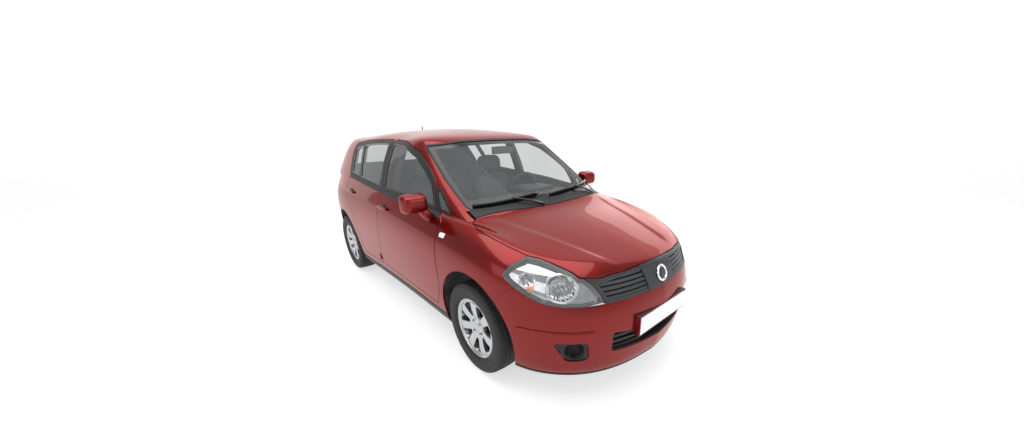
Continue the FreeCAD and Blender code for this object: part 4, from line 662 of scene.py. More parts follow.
DOOR_GAP_SHARES = [(-0.073, 0.708, 0.941), (-0.071, 0.755, 0.880), (-0.070, 0.918, 0.681),
                   (-0.088, 0.998, 0.500), (-0.123, 0.985, 0.326), (-0.150, 0.960, 0.216)]
FRONT_DOOR_SHARES = [(0.372, 0.955, 0.207), (0.408, 0.990, 0.313), (0.415, 0.998, 0.417), (0.415, 0.979, 0.541),
                     (0.408, 0.915, 0.610), (0.360, 0.879, 0.642), (0.311, 0.793, 0.772), (0.260, 0.761, 0.825),
                     (0.179, 0.741, 0.890), (0.060, 0.715, 0.934)]
REAR_DOOR_SHARES = [(-0.356, 0.716, 0.935), (-0.528, 0.722, 0.914), (-0.545, 0.755, 0.880),
                    (-0.522, 0.850, 0.770), (-0.500, 0.918, 0.700), (-0.493, 0.965, 0.600),
                    (-0.462, 0.999, 0.520), (-0.422, 0.999, 0.418), (-0.402, 0.989, 0.313),
                    (-0.400, 0.965, 0.216)]
FRONT_WINDOW_SHARES = [(0.340, 0.870, 0.655), (0.303, 0.795, 0.758), (0.253, 0.765, 0.806),
                       (0.172, 0.748, 0.866), (0.058, 0.728, 0.912), (-0.052, 0.722, 0.922),
                       (-0.050, 0.755, 0.870), (-0.047, 0.905, 0.692), (0.128, 0.905, 0.680)]
REAR_WINDOW_SHARES = [(-0.096, 0.905, 0.697), (-0.098, 0.755, 0.870), (-0.100, 0.722, 0.922),
                      (-0.250, 0.728, 0.919), (-0.388, 0.735, 0.902), (-0.342, 0.890, 0.720)]
QUARTER_WINDOW_SHARES = [(-0.358, 0.890, 0.722), (-0.404, 0.735, 0.899), (-0.492, 0.745, 0.884),
                         (-0.508, 0.760, 0.868), (-0.475, 0.878, 0.735)]
QUARTER_PANE_SHARES = [(0.437, 0.835, 0.634), (0.367, 0.870, 0.652), (0.325, 0.795, 0.765)]
HOOD_SHARES = [(0.560, 0.0), (0.553, 0.295), (0.535, 0.566), (0.518, 0.745), (0.528, 0.790), (0.575, 0.826),
               (0.656, 0.821), (0.711, 0.800), (0.763, 0.769), (0.793, 0.723), (0.843, 0.671), (0.874, 0.635),
               (0.892, 0.620), (0.920, 0.503), (0.941, 0.311), (0.950, 0.120), (0.951, 0.0), (0.951, -0.05),
               (0.560, -0.05)]
LAMP_LOW_SHARES = [(0.737, 0.506), (0.749, 0.489), (0.794, 0.455), (0.842, 0.425), (0.882, 0.414),
                   (0.921, 0.411), (0.944, 0.419)]
LAMP_BACK_SHARES = [(0.748, 0.535), (0.767, 0.563)]
LAMP_INNER_SHARES = [(0.8925, 0.615), (0.946, 0.529), (0.985, 0.470)]
GRILLE_LOW_SHARE = 0.412
HOOD_LOW_SHARE = 0.42
BUMPER_SEAM_SHARES = [(0.700, 0.380), (0.7215, 0.4065), (0.742, 0.433), (0.765, 0.459), (0.785, 0.4605)]
FRONT_LIP_SHARES = [(0.700, 0.124), (0.800, 0.108), (1.1, 0.097)]
LOWER_OPENING_SHARES = [(-0.05, 0.285), (0.330, 0.285), (0.490, 0.300), (0.480, 0.212), (-0.05, 0.196)]
FOG_OPENING_SHARES = [(0.640, 0.270), (0.795, 0.272), (0.800, 0.262), (0.740, 0.195), (0.700, 0.188),
                      (0.615, 0.193)]
FENDER_SHARES = ([(0.419, 0.130), (0.4195, 0.613), (0.441, 0.627), (0.434, 0.680), (0.470, 0.690),
                  (0.700, 0.690), (0.767, 0.640)] + LAMP_BACK_SHARES[::-1] + LAMP_LOW_SHARES[:3]
                  + BUMPER_SEAM_SHARES[::-1]
                 + [(0.700, 0.130)])
FENDER_TOP_SHARES = [(0.40, 0.765), (0.62, 0.765), (0.78, 0.65), (0.80, 1.2), (0.40, 1.2)]
SCREEN_SHARES = [(-0.05, 0.672), (0.30, 0.672), (0.742, 0.664), (0.742, 0.72), (0.735, 0.777), (0.690, 0.912),
                 (0.680, 0.920), (0.40, 0.936), (-0.05, 0.940)]
TAILGATE_SHARES = [(-0.05, 0.380), (0.52, 0.380), (0.585, 0.425), (0.620, 0.480), (0.635, 0.570),
                   (0.650, 0.680), (0.640, 0.800), (0.600, 0.915), (0.560, 0.985), (-0.05, 0.985)]
TAILGATE_FRONT_SHARE = -0.735
REAR_GLASS_SHARES = [(-0.05, 0.725), (0.560, 0.725), (0.610, 0.745), (0.530, 0.895), (0.47, 0.905),
                     (-0.05, 0.910)]
TAIL_LAMP_SHARES = [(-0.815, 0.650), (-0.850, 0.690), (-1.1, 0.685), (-1.1, 0.455), (-0.930, 0.447),
                    (-0.875, 0.485), (-0.835, 0.560)]
REAR_BUMPER_SHARES = [(-0.700, 0.150), (-1.1, 0.158), (-1.1, 0.372), (-0.99, 0.372), (-0.95, 0.425),
                      (-0.88, 0.425), (-0.84, 0.405), (-0.760, 0.395)]
FLAP_SHARES = [(-0.613, 0.98, 0.550), (-0.661, 0.98, 0.550), (-0.661, 0.98, 0.640), (-0.613, 0.98, 0.640)]
FRONT_CLIP_SHARES = [(0.425, -0.1), (0.425, 0.60), (0.470, 0.625), (0.470, 0.66), (0.62, 0.66), (0.62, 1.0),
                     (1.1, 1.0), (1.1, -0.1)]
SILL_SHARES = [(-1.1, 0.0), (1.1, 0.0), (1.1, 0.135), (-0.76, 0.135), (-0.80, 0.22), (-1.1, 0.22)]
BELT_SHARES = [(0.47, 0.628), (0.36, 0.636), (0.128, 0.658), (-0.055, 0.674), (-0.427, 0.7075), (-0.60, 0.722)]

gap_share = GAP / HALF_LENGTH
REAR_GAP_SHARES = [(x - gap_share, y, z) for x, y, z in reversed(DOOR_GAP_SHARES)]
front_door = side_view(FRONT_DOOR_SHARES + DOOR_GAP_SHARES, CORNER, DOOR_DRAFT)
rear_door = side_view(REAR_GAP_SHARES + REAR_DOOR_SHARES, CORNER, DOOR_DRAFT)
front_window = side_view(FRONT_WINDOW_SHARES, GLASS_CORNER)
rear_window = side_view(REAR_WINDOW_SHARES, GLASS_CORNER)
quarter_window = side_view(QUARTER_WINDOW_SHARES, GLASS_CORNER)
quarter_pane = side_view(QUARTER_PANE_SHARES, GLASS_CORNER)
hood = both(top_view(HOOD_SHARES, 0.02 * HALF_LENGTH), beyond(2, HOOD_LOW_SHARE * HEIGHT))
lamp_span = top_view([(0.70, 1.2), (0.70, 0.56)] + LAMP_INNER_SHARES + [(1.1, 0.470), (1.1, 1.2)])
lamp = both(side_view(LAMP_LOW_SHARES + [(1.1, 0.419), (1.1, 0.70), (0.767, 0.70)] + LAMP_BACK_SHARES[::-1]),
            lamp_span, without(grown(hood, GAP)))
grille_span = side_view([(0.86, GRILLE_LOW_SHARE), (1.1, GRILLE_LOW_SHARE), (1.1, 0.60), (0.86, 0.60)])
grille = both(grille_span, without(lamp_span), without(grown(hood, GAP)),
              top_view([(0.86, -0.1), (1.1, -0.1), (1.1, 0.62), (0.86, 0.62)]))
bumper = side_view(FRONT_LIP_SHARES + [(1.1, GRILLE_LOW_SHARE), (0.944, GRILLE_LOW_SHARE)]
                   + LAMP_LOW_SHARES[::-1][1:5] + BUMPER_SEAM_SHARES[::-1])
lower_opening = both(end_view(LOWER_OPENING_SHARES, GLASS_CORNER), beyond(0, 0))
fog_opening = both(end_view(FOG_OPENING_SHARES, GLASS_CORNER), beyond(0, 0))
fender = both(side_view(FENDER_SHARES), top_view(FENDER_TOP_SHARES))
screen = both(end_view(SCREEN_SHARES, GLASS_CORNER), beyond(0, 0.12 * HALF_LENGTH))
cowl_top = both(top_view([(0.47, -0.1), (0.60, -0.1), (0.60, 0.745), (0.48, 0.745)]), beyond(2, 0.5 * HEIGHT))
cowl = both(cowl_top, without(grown(hood, GAP)), without(screen))
tailgate = both(end_view(TAILGATE_SHARES, CORNER), beyond(0, TAILGATE_FRONT_SHARE * HALF_LENGTH, -1))
rear_glass = both(end_view(REAR_GLASS_SHARES, GLASS_CORNER), beyond(0, -0.70 * HALF_LENGTH, -1))
tail_lamp = both(side_view(TAIL_LAMP_SHARES), beyond(1, 0.50 * HALF_WIDTH), without(grown(tailgate, GAP)))
rear_bumper = side_view(REAR_BUMPER_SHARES)
flap = both(side_view(FLAP_SHARES, GLASS_CORNER), beyond(1, 0.5 * HALF_WIDTH))


def arch(axle):
    """Distance outside the wheel's round opening."""
    level = AXLE_LEVEL + ARCH_RISE
    return lambda p: np.hypot(p[:, 0] - axle, p[:, 2] - level) - ARCH_RADIUS


def above(shares):
    """Distance above a line drawn in the side view."""
    line = np.array(sorted(shares)) * (HALF_LENGTH, HEIGHT)
    return lambda p: p[:, 2] - np.interp(p[:, 0], line[:, 0], line[:, 1])


belt = above(BELT_SHARES)
print("outlines ready")

# %% [markdown]
# Now the painted panels themselves. Each one names what it is cut from and what is cut out of it.

# %% Painted panels
def side_panels(name, body, material, zones, **options):
    """A left and a right panel that each move with the body of their own side."""
    for side in ("left", "right"):
        panel(name + "_" + side, body.replace("SIDE", side), material, zones, sides=side, **options)


side_panels("front_door_skin", "front_door_SIDE", PAINT, [front_door, without(belt)])
side_panels("rear_door_skin", "rear_door_SIDE", PAINT, [rear_door, without(belt)])
side_panels("front_door_frame", "front_door_SIDE", BLACK_TRIM, [front_door, belt, without(front_window)],
            slot="trim")
side_panels("rear_door_frame", "rear_door_SIDE", BLACK_TRIM,
            [rear_door, belt, without(rear_window), without(quarter_window)], slot="trim")
CREASE_REAR, CREASE_FRONT, CREASE_WIDTH, CREASE_RISE = (1.20, 0.52), (2.04, 0.27), 0.050, 0.0065


def creases(points):
    """The hood's outer shoulders stand a little higher, behind two soft lines that run in to the grille."""
    line = np.interp(points[:, 0], [CREASE_REAR[0], CREASE_FRONT[0]], [CREASE_REAR[1], CREASE_FRONT[1]])
    step = 1 / (1 + np.exp(-(np.abs(points[:, 1]) - line) / CREASE_WIDTH * 5))
    return CREASE_RISE * step * np.clip(hood(points) / 0.10, 0, 1)


panel("hood_skin", "hood", PAINT, [hood], lift=creases)
panel("bumper_skin", "body", PAINT,
      [grown(bumper, -SHUT), arch(FRONT_AXLE), without(grown(lower_opening, SHUT)),
       without(grown(fog_opening, SHUT))])
side_panels("fender_skin", "body", PAINT, [grown(fender, -SHUT), without(grown(hood, GAP)), arch(FRONT_AXLE)])
panel("cowl_skin", "body", BLACK_TRIM, [grown(cowl, -SHUT)], slot="trim")
panel("body_skin", "body", PAINT,
      [without(side_view(SILL_SHARES)), without(grown(rear_bumper, SHUT)), arch(REAR_AXLE), arch(FRONT_AXLE),
       without(grown(tailgate, GAP)), without(grown(tail_lamp, SHUT)), without(grown(front_door, GAP)),
       without(grown(rear_door, GAP)), without(side_view(FRONT_CLIP_SHARES)), without(grown(screen, SHUT)),
       without(grown(cowl_top, SHUT)), without(grown(fender, SHUT)), without(quarter_pane)], spacing=0.024)
panel("tailgate_skin", "tailgate", PAINT, [tailgate, without(rear_glass)])
panel("rear_bumper_skin", "body", PAINT, [grown(rear_bumper, -SHUT), arch(REAR_AXLE)])

# %% Glass
GLASS_LEVEL = -0.004
side_panels("front_door_pane", "front_door_SIDE", WINDOW, [front_window], level=GLASS_LEVEL, slot="glass",
            flange=0)
side_panels("rear_door_pane", "rear_door_SIDE", WINDOW, [either(rear_window, quarter_window)],
            level=GLASS_LEVEL, slot="glass", flange=0)
panel("windscreen_pane", "body", SCREEN, [screen], level=GLASS_LEVEL, slot="glass", flange=0)
panel("rear_pane", "tailgate", WINDOW, [rear_glass], level=GLASS_LEVEL, slot="glass", flange=0)
side_panels("quarter_pane", "body", WINDOW, [quarter_pane], level=GLASS_LEVEL, slot="glass", flange=0)
for name, stand_in in (("front_door_pane_left", "front_door_glass_left"),
                       ("front_door_pane_right", "front_door_glass_right"),
                       ("rear_door_pane_left", "rear_door_glass_left"),
                       ("rear_door_pane_right", "rear_door_glass_right"), ("windscreen_pane", "windscreen"),
                       ("rear_pane", "tailgate_glass"), ("quarter_pane_left", "quarter_glass")):
    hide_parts(stand_in)

# %% [markdown]
# Rubber, mouldings and covers are narrow panels on the same form: a band is what lies between two
# grown copies of one outline, so it keeps its width all the way round.

# %% Bands, mouldings and covers
def band(zone, out, inward):
    """The strip from out outside an outline's edge to inward inside it."""
    return both(grown(zone, out), without(grown(zone, -inward)))


def between(axis, low, high):
    """The slice between two planes."""
    return both(beyond(axis, low), beyond(axis, high, -1))


RUBBER = dict(level=0.0022, fold=0.0012, flange=0.004, slot="trim", spacing=0.016)
MOULDING = dict(level=0.0050, fold=0.0030, flange=0.006, slot="trim", spacing=0.014)
BELT_BAND, BELT_LAP, FRIT = 0.022, 0.003, 0.030
belt_band = both(grown(belt, BELT_BAND), without(grown(belt, -BELT_LAP)))
side_panels("front_belt_moulding", "front_door_SIDE", BLACK_TRIM, [grown(front_door, -SHUT), belt_band],
            **MOULDING)
side_panels("rear_belt_moulding", "rear_door_SIDE", BLACK_TRIM, [grown(rear_door, -SHUT), belt_band],
            **MOULDING)
side_panels("front_window_rubber", "front_door_SIDE", GLOSS_BLACK, [band(front_window, 0.002, 0.007)], **RUBBER)
side_panels("rear_window_rubber", "rear_door_SIDE", GLOSS_BLACK,
            [either(band(rear_window, 0.002, 0.007), band(quarter_window, 0.002, 0.007))], **RUBBER)
side_panels("quarter_rubber", "body", BLACK_TRIM, [band(quarter_pane, 0.010, 0.006)], **RUBBER)
panel("screen_rubber", "body", BLACK_TRIM, [band(screen, 0.006, 0.004)], **RUBBER)
panel("screen_frit", "body", GLOSS_BLACK, [band(screen, -0.003, FRIT)], level=-0.0034, fold=0, flange=0,
      slot="glass")
panel("rear_frit", "tailgate", GLOSS_BLACK, [band(rear_glass, -0.001, FRIT)], level=-0.0034, fold=0, flange=0,
      slot="glass")
SILL_LOW, SILL_HIGH = 0.208, 0.262
panel("sill_strip", "body", BLACK_TRIM, [between(2, SILL_LOW, SILL_HIGH), between(0, -1.02, 1.02),
                                         arch(REAR_AXLE), arch(FRONT_AXLE)], **MOULDING)
LIP_RISE = 0.012
lip_strip = both(grown(bumper, -SHUT), arch(FRONT_AXLE),
                 without(above([(x, z + LIP_RISE) for x, z in FRONT_LIP_SHARES])))
panel("lip_strip", "body", BLACK_TRIM, [lip_strip], **MOULDING)
STRIP_LOW, STRIP_HIGH, STRIP_REAR, STRIP_INNER = 0.430, 0.482, 1.690, 0.520
strip_zone = both(between(2, STRIP_LOW, STRIP_HIGH), beyond(0, STRIP_REAR), beyond(1, STRIP_INNER))
panel("bumper_strip", "body", PAINT, [strip_zone], level=0.0120, fold=0.0085, flange=0.013, spacing=0.010)
panel("bumper_strip_line", "body", BLACK_TRIM, [band(strip_zone, 0.0060, 0.004)], level=0.0019, fold=0.0006,
      flange=0.002, slot="trim", spacing=0.008)
WASHER_SHARES = [(0.700, 0.372), (0.775, 0.374), (0.775, 0.404), (0.700, 0.400)]
washer = both(end_view(WASHER_SHARES, 0.010), beyond(0, 0))
panel("washer_cover", "body", PAINT, [washer], level=0.0022, fold=0.0009, flange=0.003, spacing=0.008)
MARKER_PLACE, MARKER_HALF = (0.965, 0.872), (0.029, 0.012)
marker_corners = [(MARKER_PLACE[0] + a * MARKER_HALF[0], MARKER_PLACE[1] + b * MARKER_HALF[1])
                  for a, b in ((-1, -1), (1, -1), (1, 1), (-1, 1))]
marker = both(side_view([(x / HALF_LENGTH, z / HEIGHT) for x, z in marker_corners], 0.006), beyond(1, 0.5))
panel("side_marker", "body", PLATE_WHITE, [marker], level=0.0050, fold=0.0030, flange=0.006, spacing=0.005,
      slot="lamp")
panel("fuel_flap_skin", "fuel_flap", PAINT, [flap], sides="right", spacing=0.008)

# %% [markdown]
# A headlamp is a clear shell over a bright housing. The housing is the same form set back, with round
# bowls pressed into it: the depth at a distance d from a bowl's centre is D * sqrt(1 - (d / R)^2), and
# small ridges across it stand for the reflector's facets.

# %% Lamps
def bowls(*places, ridge=0.0, pitch=0.02):
    """How far each point of a sheet sinks into round bowls of centre, radius and depth."""
    def sink(points):
        total = np.zeros(len(points))
        for centre, radius, depth in places:
            share = np.linalg.norm(points - centre, axis=1) / radius
            hollow = np.sqrt(np.clip(1 - share ** 2, 0, 1))
            facets = ridge * np.abs((points[:, 1] / pitch) % 1 - 0.5) * (share < 0.97)
            total = np.where(share < 1, -depth * hollow - facets, total)
        return total
    return sink


def on_form(axes, target, near):
    """The point of the form whose two named coordinates have the target values, and its normal."""
    uv = FORM_UV[np.argmin(np.linalg.norm(FORM_POINTS - near, axis=1))][None].copy()
    for step in range(8):
        miss = np.asarray(target) - skin(uv)[0, axes]
        slopes = np.stack([(skin(uv + d) - skin(uv - d))[0, axes] / (2 * STEP) for d in np.eye(2) * STEP], 1)
        uv = np.clip(uv + np.linalg.lstsq(slopes, miss, rcond=None)[0], (STEP, STEP), (TOP - STEP, TAIL - STEP))
    return skin(uv)[0], normals_of(skin, uv)[0]


main_bowl = on_form([0, 2], (1.880, 0.735), (1.88, 0.62, 0.73))[0]
tip_bowl = on_form([0, 2], (2.040, 0.675), (2.04, 0.47, 0.67))[0]
rear_bowl = on_form([0, 2], (1.715, 0.765), (1.71, 0.75, 0.76))[0]
REFLECTOR = finish("reflector", (0.30, 0.31, 0.32), (0.72, 0.74, 0.76), (0.05, 0.14), 1.0, (60, 0.5), 30.0)
HOUSING_LEVEL = -0.030
lamp_bowls = bowls((main_bowl, 0.092, 0.060), (tip_bowl, 0.046, 0.030), (rear_bowl, 0.050, 0.018), ridge=0.026,
                   pitch=0.022)
panel("headlamp_housing", "body", REFLECTOR, [grown(lamp, -0.004)], lift=lamp_bowls, level=HOUSING_LEVEL,
      spacing=0.005, fold=0, flange=0, slot="lamp")
panel("headlamp_seal", "body", GLOSS_BLACK, [band(lamp, -0.001, 0.0080)], level=0.0002, fold=0.0005,
      flange=0.032, slot="trim", spacing=0.008)
panel("headlamp_lens", "body", LENS, [grown(lamp, -0.002)], level=0.0016, fold=0.0010, flange=0.003,
      slot="lamp", spacing=0.010, replace=("headlamps",))


def ring_zone(centre, outer, inner):
    """A ring about a point, between an inner and an outer radius."""
    def depth(points):
        away = np.linalg.norm(points - centre, axis=1)
        return np.minimum(outer - away, away - inner)
    return depth


panel("headlamp_ring", "body", CHROME, [ring_zone(main_bowl, 0.093, 0.084), grown(lamp, -0.006)], level=-0.022,
      fold=0.003, flange=0.010, slot="lamp", spacing=0.006)
amber_spot = on_form([0, 2], (1.745, 0.720), (1.74, 0.74, 0.72))[0]
panel("headlamp_amber", "body", AMBER_LENS, [ring_zone(amber_spot, 0.017, -1.0), grown(lamp, -0.006)],
      level=-0.020, fold=0.004, flange=0.012, slot="lamp", spacing=0.005)
panel("tail_housing", "body", REFLECTOR, [grown(tail_lamp, -0.003)], level=-0.024, fold=0, flange=0,
      slot="tail_lamp", spacing=0.010)
panel("tail_seal", "body", GLOSS_BLACK, [band(tail_lamp, -0.001, 0.006)], level=0.0002, fold=0.0005,
      flange=0.026, slot="trim", spacing=0.009)
panel("tail_lens", "body", RED_LENS, [grown(tail_lamp, -0.002)], level=0.0016, fold=0.0010, flange=0.003,
      slot="tail_lamp", replace=("tail_lamps",))

# %% [markdown]
# The grille's bars follow the nose too. Each is a band between two heights with well rounded edges and
# a deep flange, so that it reads as a solid bar in front of the dark radiator.

# %% Grille, lower openings and plate
CENTRE_SHARES = [(-0.05, 0.40), (0.150, 0.40), (0.190, 0.53), (-0.05, 0.53)]
centre_plate = both(grille, end_view(CENTRE_SHARES))
grille_inner = both(grown(grille, -0.012), without(centre_plate))
panel("grille_frame", "body", CHARCOAL, [band(grille, -0.002, 0.015)], level=0.0, fold=0.0030, flange=0.030,
      slot="trim", spacing=0.010, replace=("grille",))
panel("grille_radiator", "body", BLACK_TRIM, [grown(grille, -0.006)], level=-0.045, fold=0, flange=0,
      slot="trim", spacing=0.03)
BAR_PITCH, BAR_HEIGHT, BAR_START, BARS = 0.0255, 0.0115, 0.6515, 5
for i in range(BARS):
    low_edge = BAR_START + i * BAR_PITCH
    panel("grille_bar_%d" % i, "body", CHARCOAL, [grille_inner, between(2, low_edge, low_edge + BAR_HEIGHT)],
          level=-0.004, fold=0.0050, flange=0.022, slot="trim", spacing=0.012)
panel("grille_centre", "body", CHARCOAL, [grown(centre_plate, -0.001)], level=0.004, fold=0.0040, flange=0.030,
      slot="trim", spacing=0.010)
fog_heart = on_form([1, 2], (0.595, 0.357), (2.02, 0.60, 0.36))[0]
panel("fog_bezel", "body", BLACK_TRIM, [grown(fog_opening, -0.001)], lift=bowls((fog_heart, 0.057, 0.065)),
      level=-0.006, fold=0.0020, flange=0.012, slot="trim", spacing=0.006, replace=("lower_grille",))
panel("lower_backing", "body", BLACK_TRIM, [grown(lower_opening, 0.004)], level=-0.055, fold=0.0010,
      flange=0.040, slot="trim", spacing=0.03)
panel("lower_tunnel", "body", BLACK_TRIM, [band(lower_opening, 0.006, 0.006)], level=-0.004, fold=0.0010,
      flange=0.085, slot="trim", spacing=0.010)
LOWER_BARS, LOWER_START, LOWER_PITCH = 3, 0.325, 0.040
for i in range(LOWER_BARS):
    low_edge = LOWER_START + i * LOWER_PITCH
    panel("lower_bar_%d" % i, "body", BLACK_TRIM,
          [grown(lower_opening, -0.004), between(2, low_edge, low_edge + 0.013)], level=-0.020, fold=0.0050,
          flange=0.025, slot="trim", spacing=0.014)


def turned(name, profile, steps, place=(0, 0, 0), along_axis=(0, 1, 0), cut=None, material=None, body=None,
           ends=False):
    """A solid of revolution from radius and axial pairs, with an optional cut into the radius."""
    profile = np.asarray(profile, float)
    axis = unit(np.asarray(along_axis, float))
    side = unit(np.cross(axis, (0.0, 0.0, 1.0) if abs(axis[2]) < 0.9 else (1.0, 0.0, 0.0)))
    other = np.cross(axis, side)
    turn = (np.arange(steps) * 2 * math.pi / steps)[:, None]
    radius = np.broadcast_to(profile[:, 0], (steps, len(profile)))
    if cut:
        radius = radius - cut(turn, profile[None, :, 0], profile[None, :, 1])
    points = (np.asarray(place) + radius[..., None]
              * (np.sin(turn)[..., None] * side + np.cos(turn)[..., None] * other)
              + profile[None, :, 1, None] * axis).reshape(-1, 3)
    i, j = np.meshgrid(np.arange(steps), np.arange(len(profile) - (0 if ends else 1)), indexing="ij")
    i, j = i.ravel(), j.ravel()
    count = len(profile)
    quads = np.stack([i * count + j, i * count + (j + 1) % count, (i + 1) % steps * count + (j + 1) % count,
                      (i + 1) % steps * count + j], 1)
    a, b, c, d = (points[quads[:, k]] for k in range(4))
    from_place = a - np.asarray(place)
    volume = (np.cross(b - a, c - a) * from_place).sum() + (np.cross(c - a, d - a) * from_place).sum()
    return make_mesh(name, points, quads if volume > 0 else quads[:, ::-1], material=material, body=body)


def ring_profile(radius, thick, steps=12):
    """A round section for turned(): the profile of a ring of that mean radius and thickness."""
    t = np.linspace(0, 2 * math.pi, steps, endpoint=False)
    return np.stack([radius + thick * np.cos(t), thick * np.sin(t)], 1)


badge, badge_out = on_form([1, 2], (0.0, 0.702), (2.1, 0.0, 0.70))
badge_out[1] = 0
badge_out = unit(badge_out)
turned("badge_ring", ring_profile(0.044, 0.0075), 64, badge + badge_out * 0.008, badge_out, material=CHROME,
       body="body", ends=True)
turned("badge_disc", [(0.0001, 0.004), (0.039, 0.003), (0.044, -0.006)], 48, badge + badge_out * 0.006,
       badge_out, material=CHARCOAL, body="body")


def rounded_block(name, low_corner, high_corner, bevel, material, body):
    """A box with rounded edges, from its two far corners."""
    low_corner, high_corner = np.asarray(low_corner, float), np.asarray(high_corner, float)
    pick = np.array([[x, y, z] for x in (0, 1) for y in (0, 1) for z in (0, 1)])
    points = low_corner + pick * (high_corner - low_corner)
    faces = np.array([[0, 1, 3, 2], [4, 6, 7, 5], [0, 4, 5, 1], [2, 3, 7, 6], [0, 2, 6, 4], [1, 5, 7, 3]])
    piece = make_mesh(name, points, faces, material=material, body=body)
    edge = piece.modifiers.new("edge", "BEVEL")
    edge.width, edge.segments = bevel, 3
    piece.modifiers.new("flat", "WEIGHTED_NORMAL")
    return piece


PLATE_HALF, PLATE_LOW, PLATE_HIGH, PLATE_BACK, PLATE_FRONT = 0.260, 0.406, 0.516, 2.1496, 2.1526
rounded_block("plate", (PLATE_BACK, -PLATE_HALF, PLATE_LOW), (PLATE_FRONT, PLATE_HALF, PLATE_HIGH), 0.001,
              PLATE_WHITE, "body")

# %% [markdown]
# A wheel is turned from profiles. The tyre's tread is cut into it while it turns: the radius loses a
# few millimetres where the width falls in a groove or the angle falls in a slot. The rim's face is a
# disc whose windows are trimmed with the same routine as the body, on polar coordinates.

# %% Tyres
HALF_TRACK = 0.740
TYRE_HALF = [(0.1975, 0.0740), (0.2045, 0.0790), (0.2120, 0.0835), (0.2200, 0.0868), (0.2206, 0.0880),
             (0.2226, 0.0882), (0.2240, 0.0880), (0.2400, 0.0915), (0.2560, 0.0928), (0.2700, 0.0924),
             (0.2780, 0.0912), (0.2786, 0.0922), (0.2806, 0.0920), (0.2812, 0.0905), (0.2900, 0.0885),
             (0.2960, 0.0862), (0.3010, 0.0825), (0.3045, 0.0770), (0.3065, 0.0720), (0.3075, 0.0670),
             (0.3083, 0.0600), (0.3086, 0.0572), (0.3018, 0.0560), (0.3018, 0.0500), (0.3092, 0.0488),
             (0.3098, 0.0400), (0.3103, 0.0300), (0.3105, 0.0262), (0.3033, 0.0250), (0.3033, 0.0170),
             (0.3107, 0.0158), (0.3110, 0.0080), (0.3110, 0.0)]
TYRE_PROFILE = TYRE_HALF + [(r, -w) for r, w in TYRE_HALF[:-1][::-1]]
SLOTS, SLOT_SHARE, SLOT_DEPTH = 58, 0.24, 0.0050


def tread_slots(turn, radius, width):
    """Cross slots in the shoulders, slanted, and narrow cuts in the middle ribs."""
    phase = (turn * SLOTS / (2 * math.pi) + np.abs(width) * 6.0) % 1
    shoulder = (np.abs(width) > 0.0572) & (radius > 0.3015)
    middle = (np.abs(width) < 0.0488) & (radius > 0.3085)
    return SLOT_DEPTH * ((phase < SLOT_SHARE) & shoulder) + SLOT_DEPTH * 0.6 * ((phase < 0.14) & middle)


WHEELS = [("front_left", FRONT_AXLE, 1), ("front_right", FRONT_AXLE, -1), ("rear_left", REAR_AXLE, 1),
          ("rear_right", REAR_AXLE, -1)]
TREAD_STEPS = SLOTS * 5
for name, axle, hand in WHEELS:
    tyre = turned("tyre_mesh_" + name, TYRE_PROFILE, TREAD_STEPS, (axle, hand * HALF_TRACK, AXLE_LEVEL),
                  (0, 1, 0), tread_slots, TYRE_RUBBER, "wheel_" + name, ends=True)
    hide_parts("tyre_" + name)

# %% Rims
SPOKES = 7
FACE_RADII = [0.0, 0.025, 0.040, 0.060, 0.080, 0.130, 0.165, 0.178, 0.186, 0.192, 0.200]
FACE_DEPTHS = [0.060, 0.060, 0.057, 0.056, 0.062, 0.069, 0.0705, 0.0695, 0.0660, 0.0640, 0.0745]
SPOKE_CROWN = 0.0035
WINDOW_INNER, WINDOW_OUTER = 0.078, 0.177
FACE_EDGE = 0.1985
half_pitch = math.pi / SPOKES
window_flat = [(r * math.sin(share * half_pitch), r * math.cos(share * half_pitch)) for r, share in (
    (WINDOW_INNER, -0.34), (WINDOW_OUTER, -0.64), (WINDOW_OUTER + 0.006, 0.0), (WINDOW_OUTER, 0.64),
    (WINDOW_INNER, 0.34))]
window_line = rounded(window_flat, 0.013)


def sector(angle):
    """The angle from the middle of the nearest window between two spokes."""
    return (angle / (2 * half_pitch)) % 1 * 2 * half_pitch - half_pitch


def wheel_face(polar):
    """A point of the rim's face from its radius and angle, dished and crowned along each spoke."""
    radius, angle = polar[:, 0], polar[:, 1]
    crown = np.cos(angle * SPOKES) * np.interp(radius, [0.05, 0.09, 0.16, 0.185], [0, 1, 1, 0])
    depth = np.interp(radius, FACE_RADII, FACE_DEPTHS) + SPOKE_CROWN * crown
    return np.stack([radius * np.sin(angle), depth, radius * np.cos(angle)], 1)


def spokes_only(points):
    """Above zero on the spokes and below it in the windows between them."""
    radius, angle = np.hypot(points[:, 0], points[:, 2]), sector(np.arctan2(points[:, 0], points[:, 2]))
    return -inside(window_line, np.stack([radius * np.sin(angle), radius * np.cos(angle)], 1))


RINGS, ROUND = 34, 168
polar = np.stack(np.meshgrid(np.linspace(0.001, FACE_EDGE, RINGS), np.arange(ROUND) * 2 * math.pi / ROUND,
                             indexing="ij"), -1).reshape(-1, 2)
i, j = (v.ravel() for v in np.meshgrid(np.arange(RINGS - 1), np.arange(ROUND), indexing="ij"))
after = (j + 1) % ROUND
a, b, c, d = i * ROUND + j, i * ROUND + after, (i + 1) * ROUND + after, (i + 1) * ROUND + j
face = np.concatenate([np.stack([a, b, c], 1), np.stack([a, c, d], 1)])
polar, face = trim(polar, face, wheel_face, spokes_only)
polar, face = packed(polar, face)
face_points = wheel_face(polar)
face_normals = unit(np.cross(wheel_face(polar + (0, 1e-3)) - wheel_face(polar - (0, 1e-3)),
                             wheel_face(polar + (1e-4, 0)) - wheel_face(np.maximum(polar - (1e-4, 0), 0))))
face_normals *= np.sign(face_normals[:, 1:2] + 1e-9)
towards = np.cross(face_points[face[:, 1]] - face_points[face[:, 0]],
                   face_points[face[:, 2]] - face_points[face[:, 0]])
if towards[:, 1].mean() < 0:
    face = face[:, ::-1]
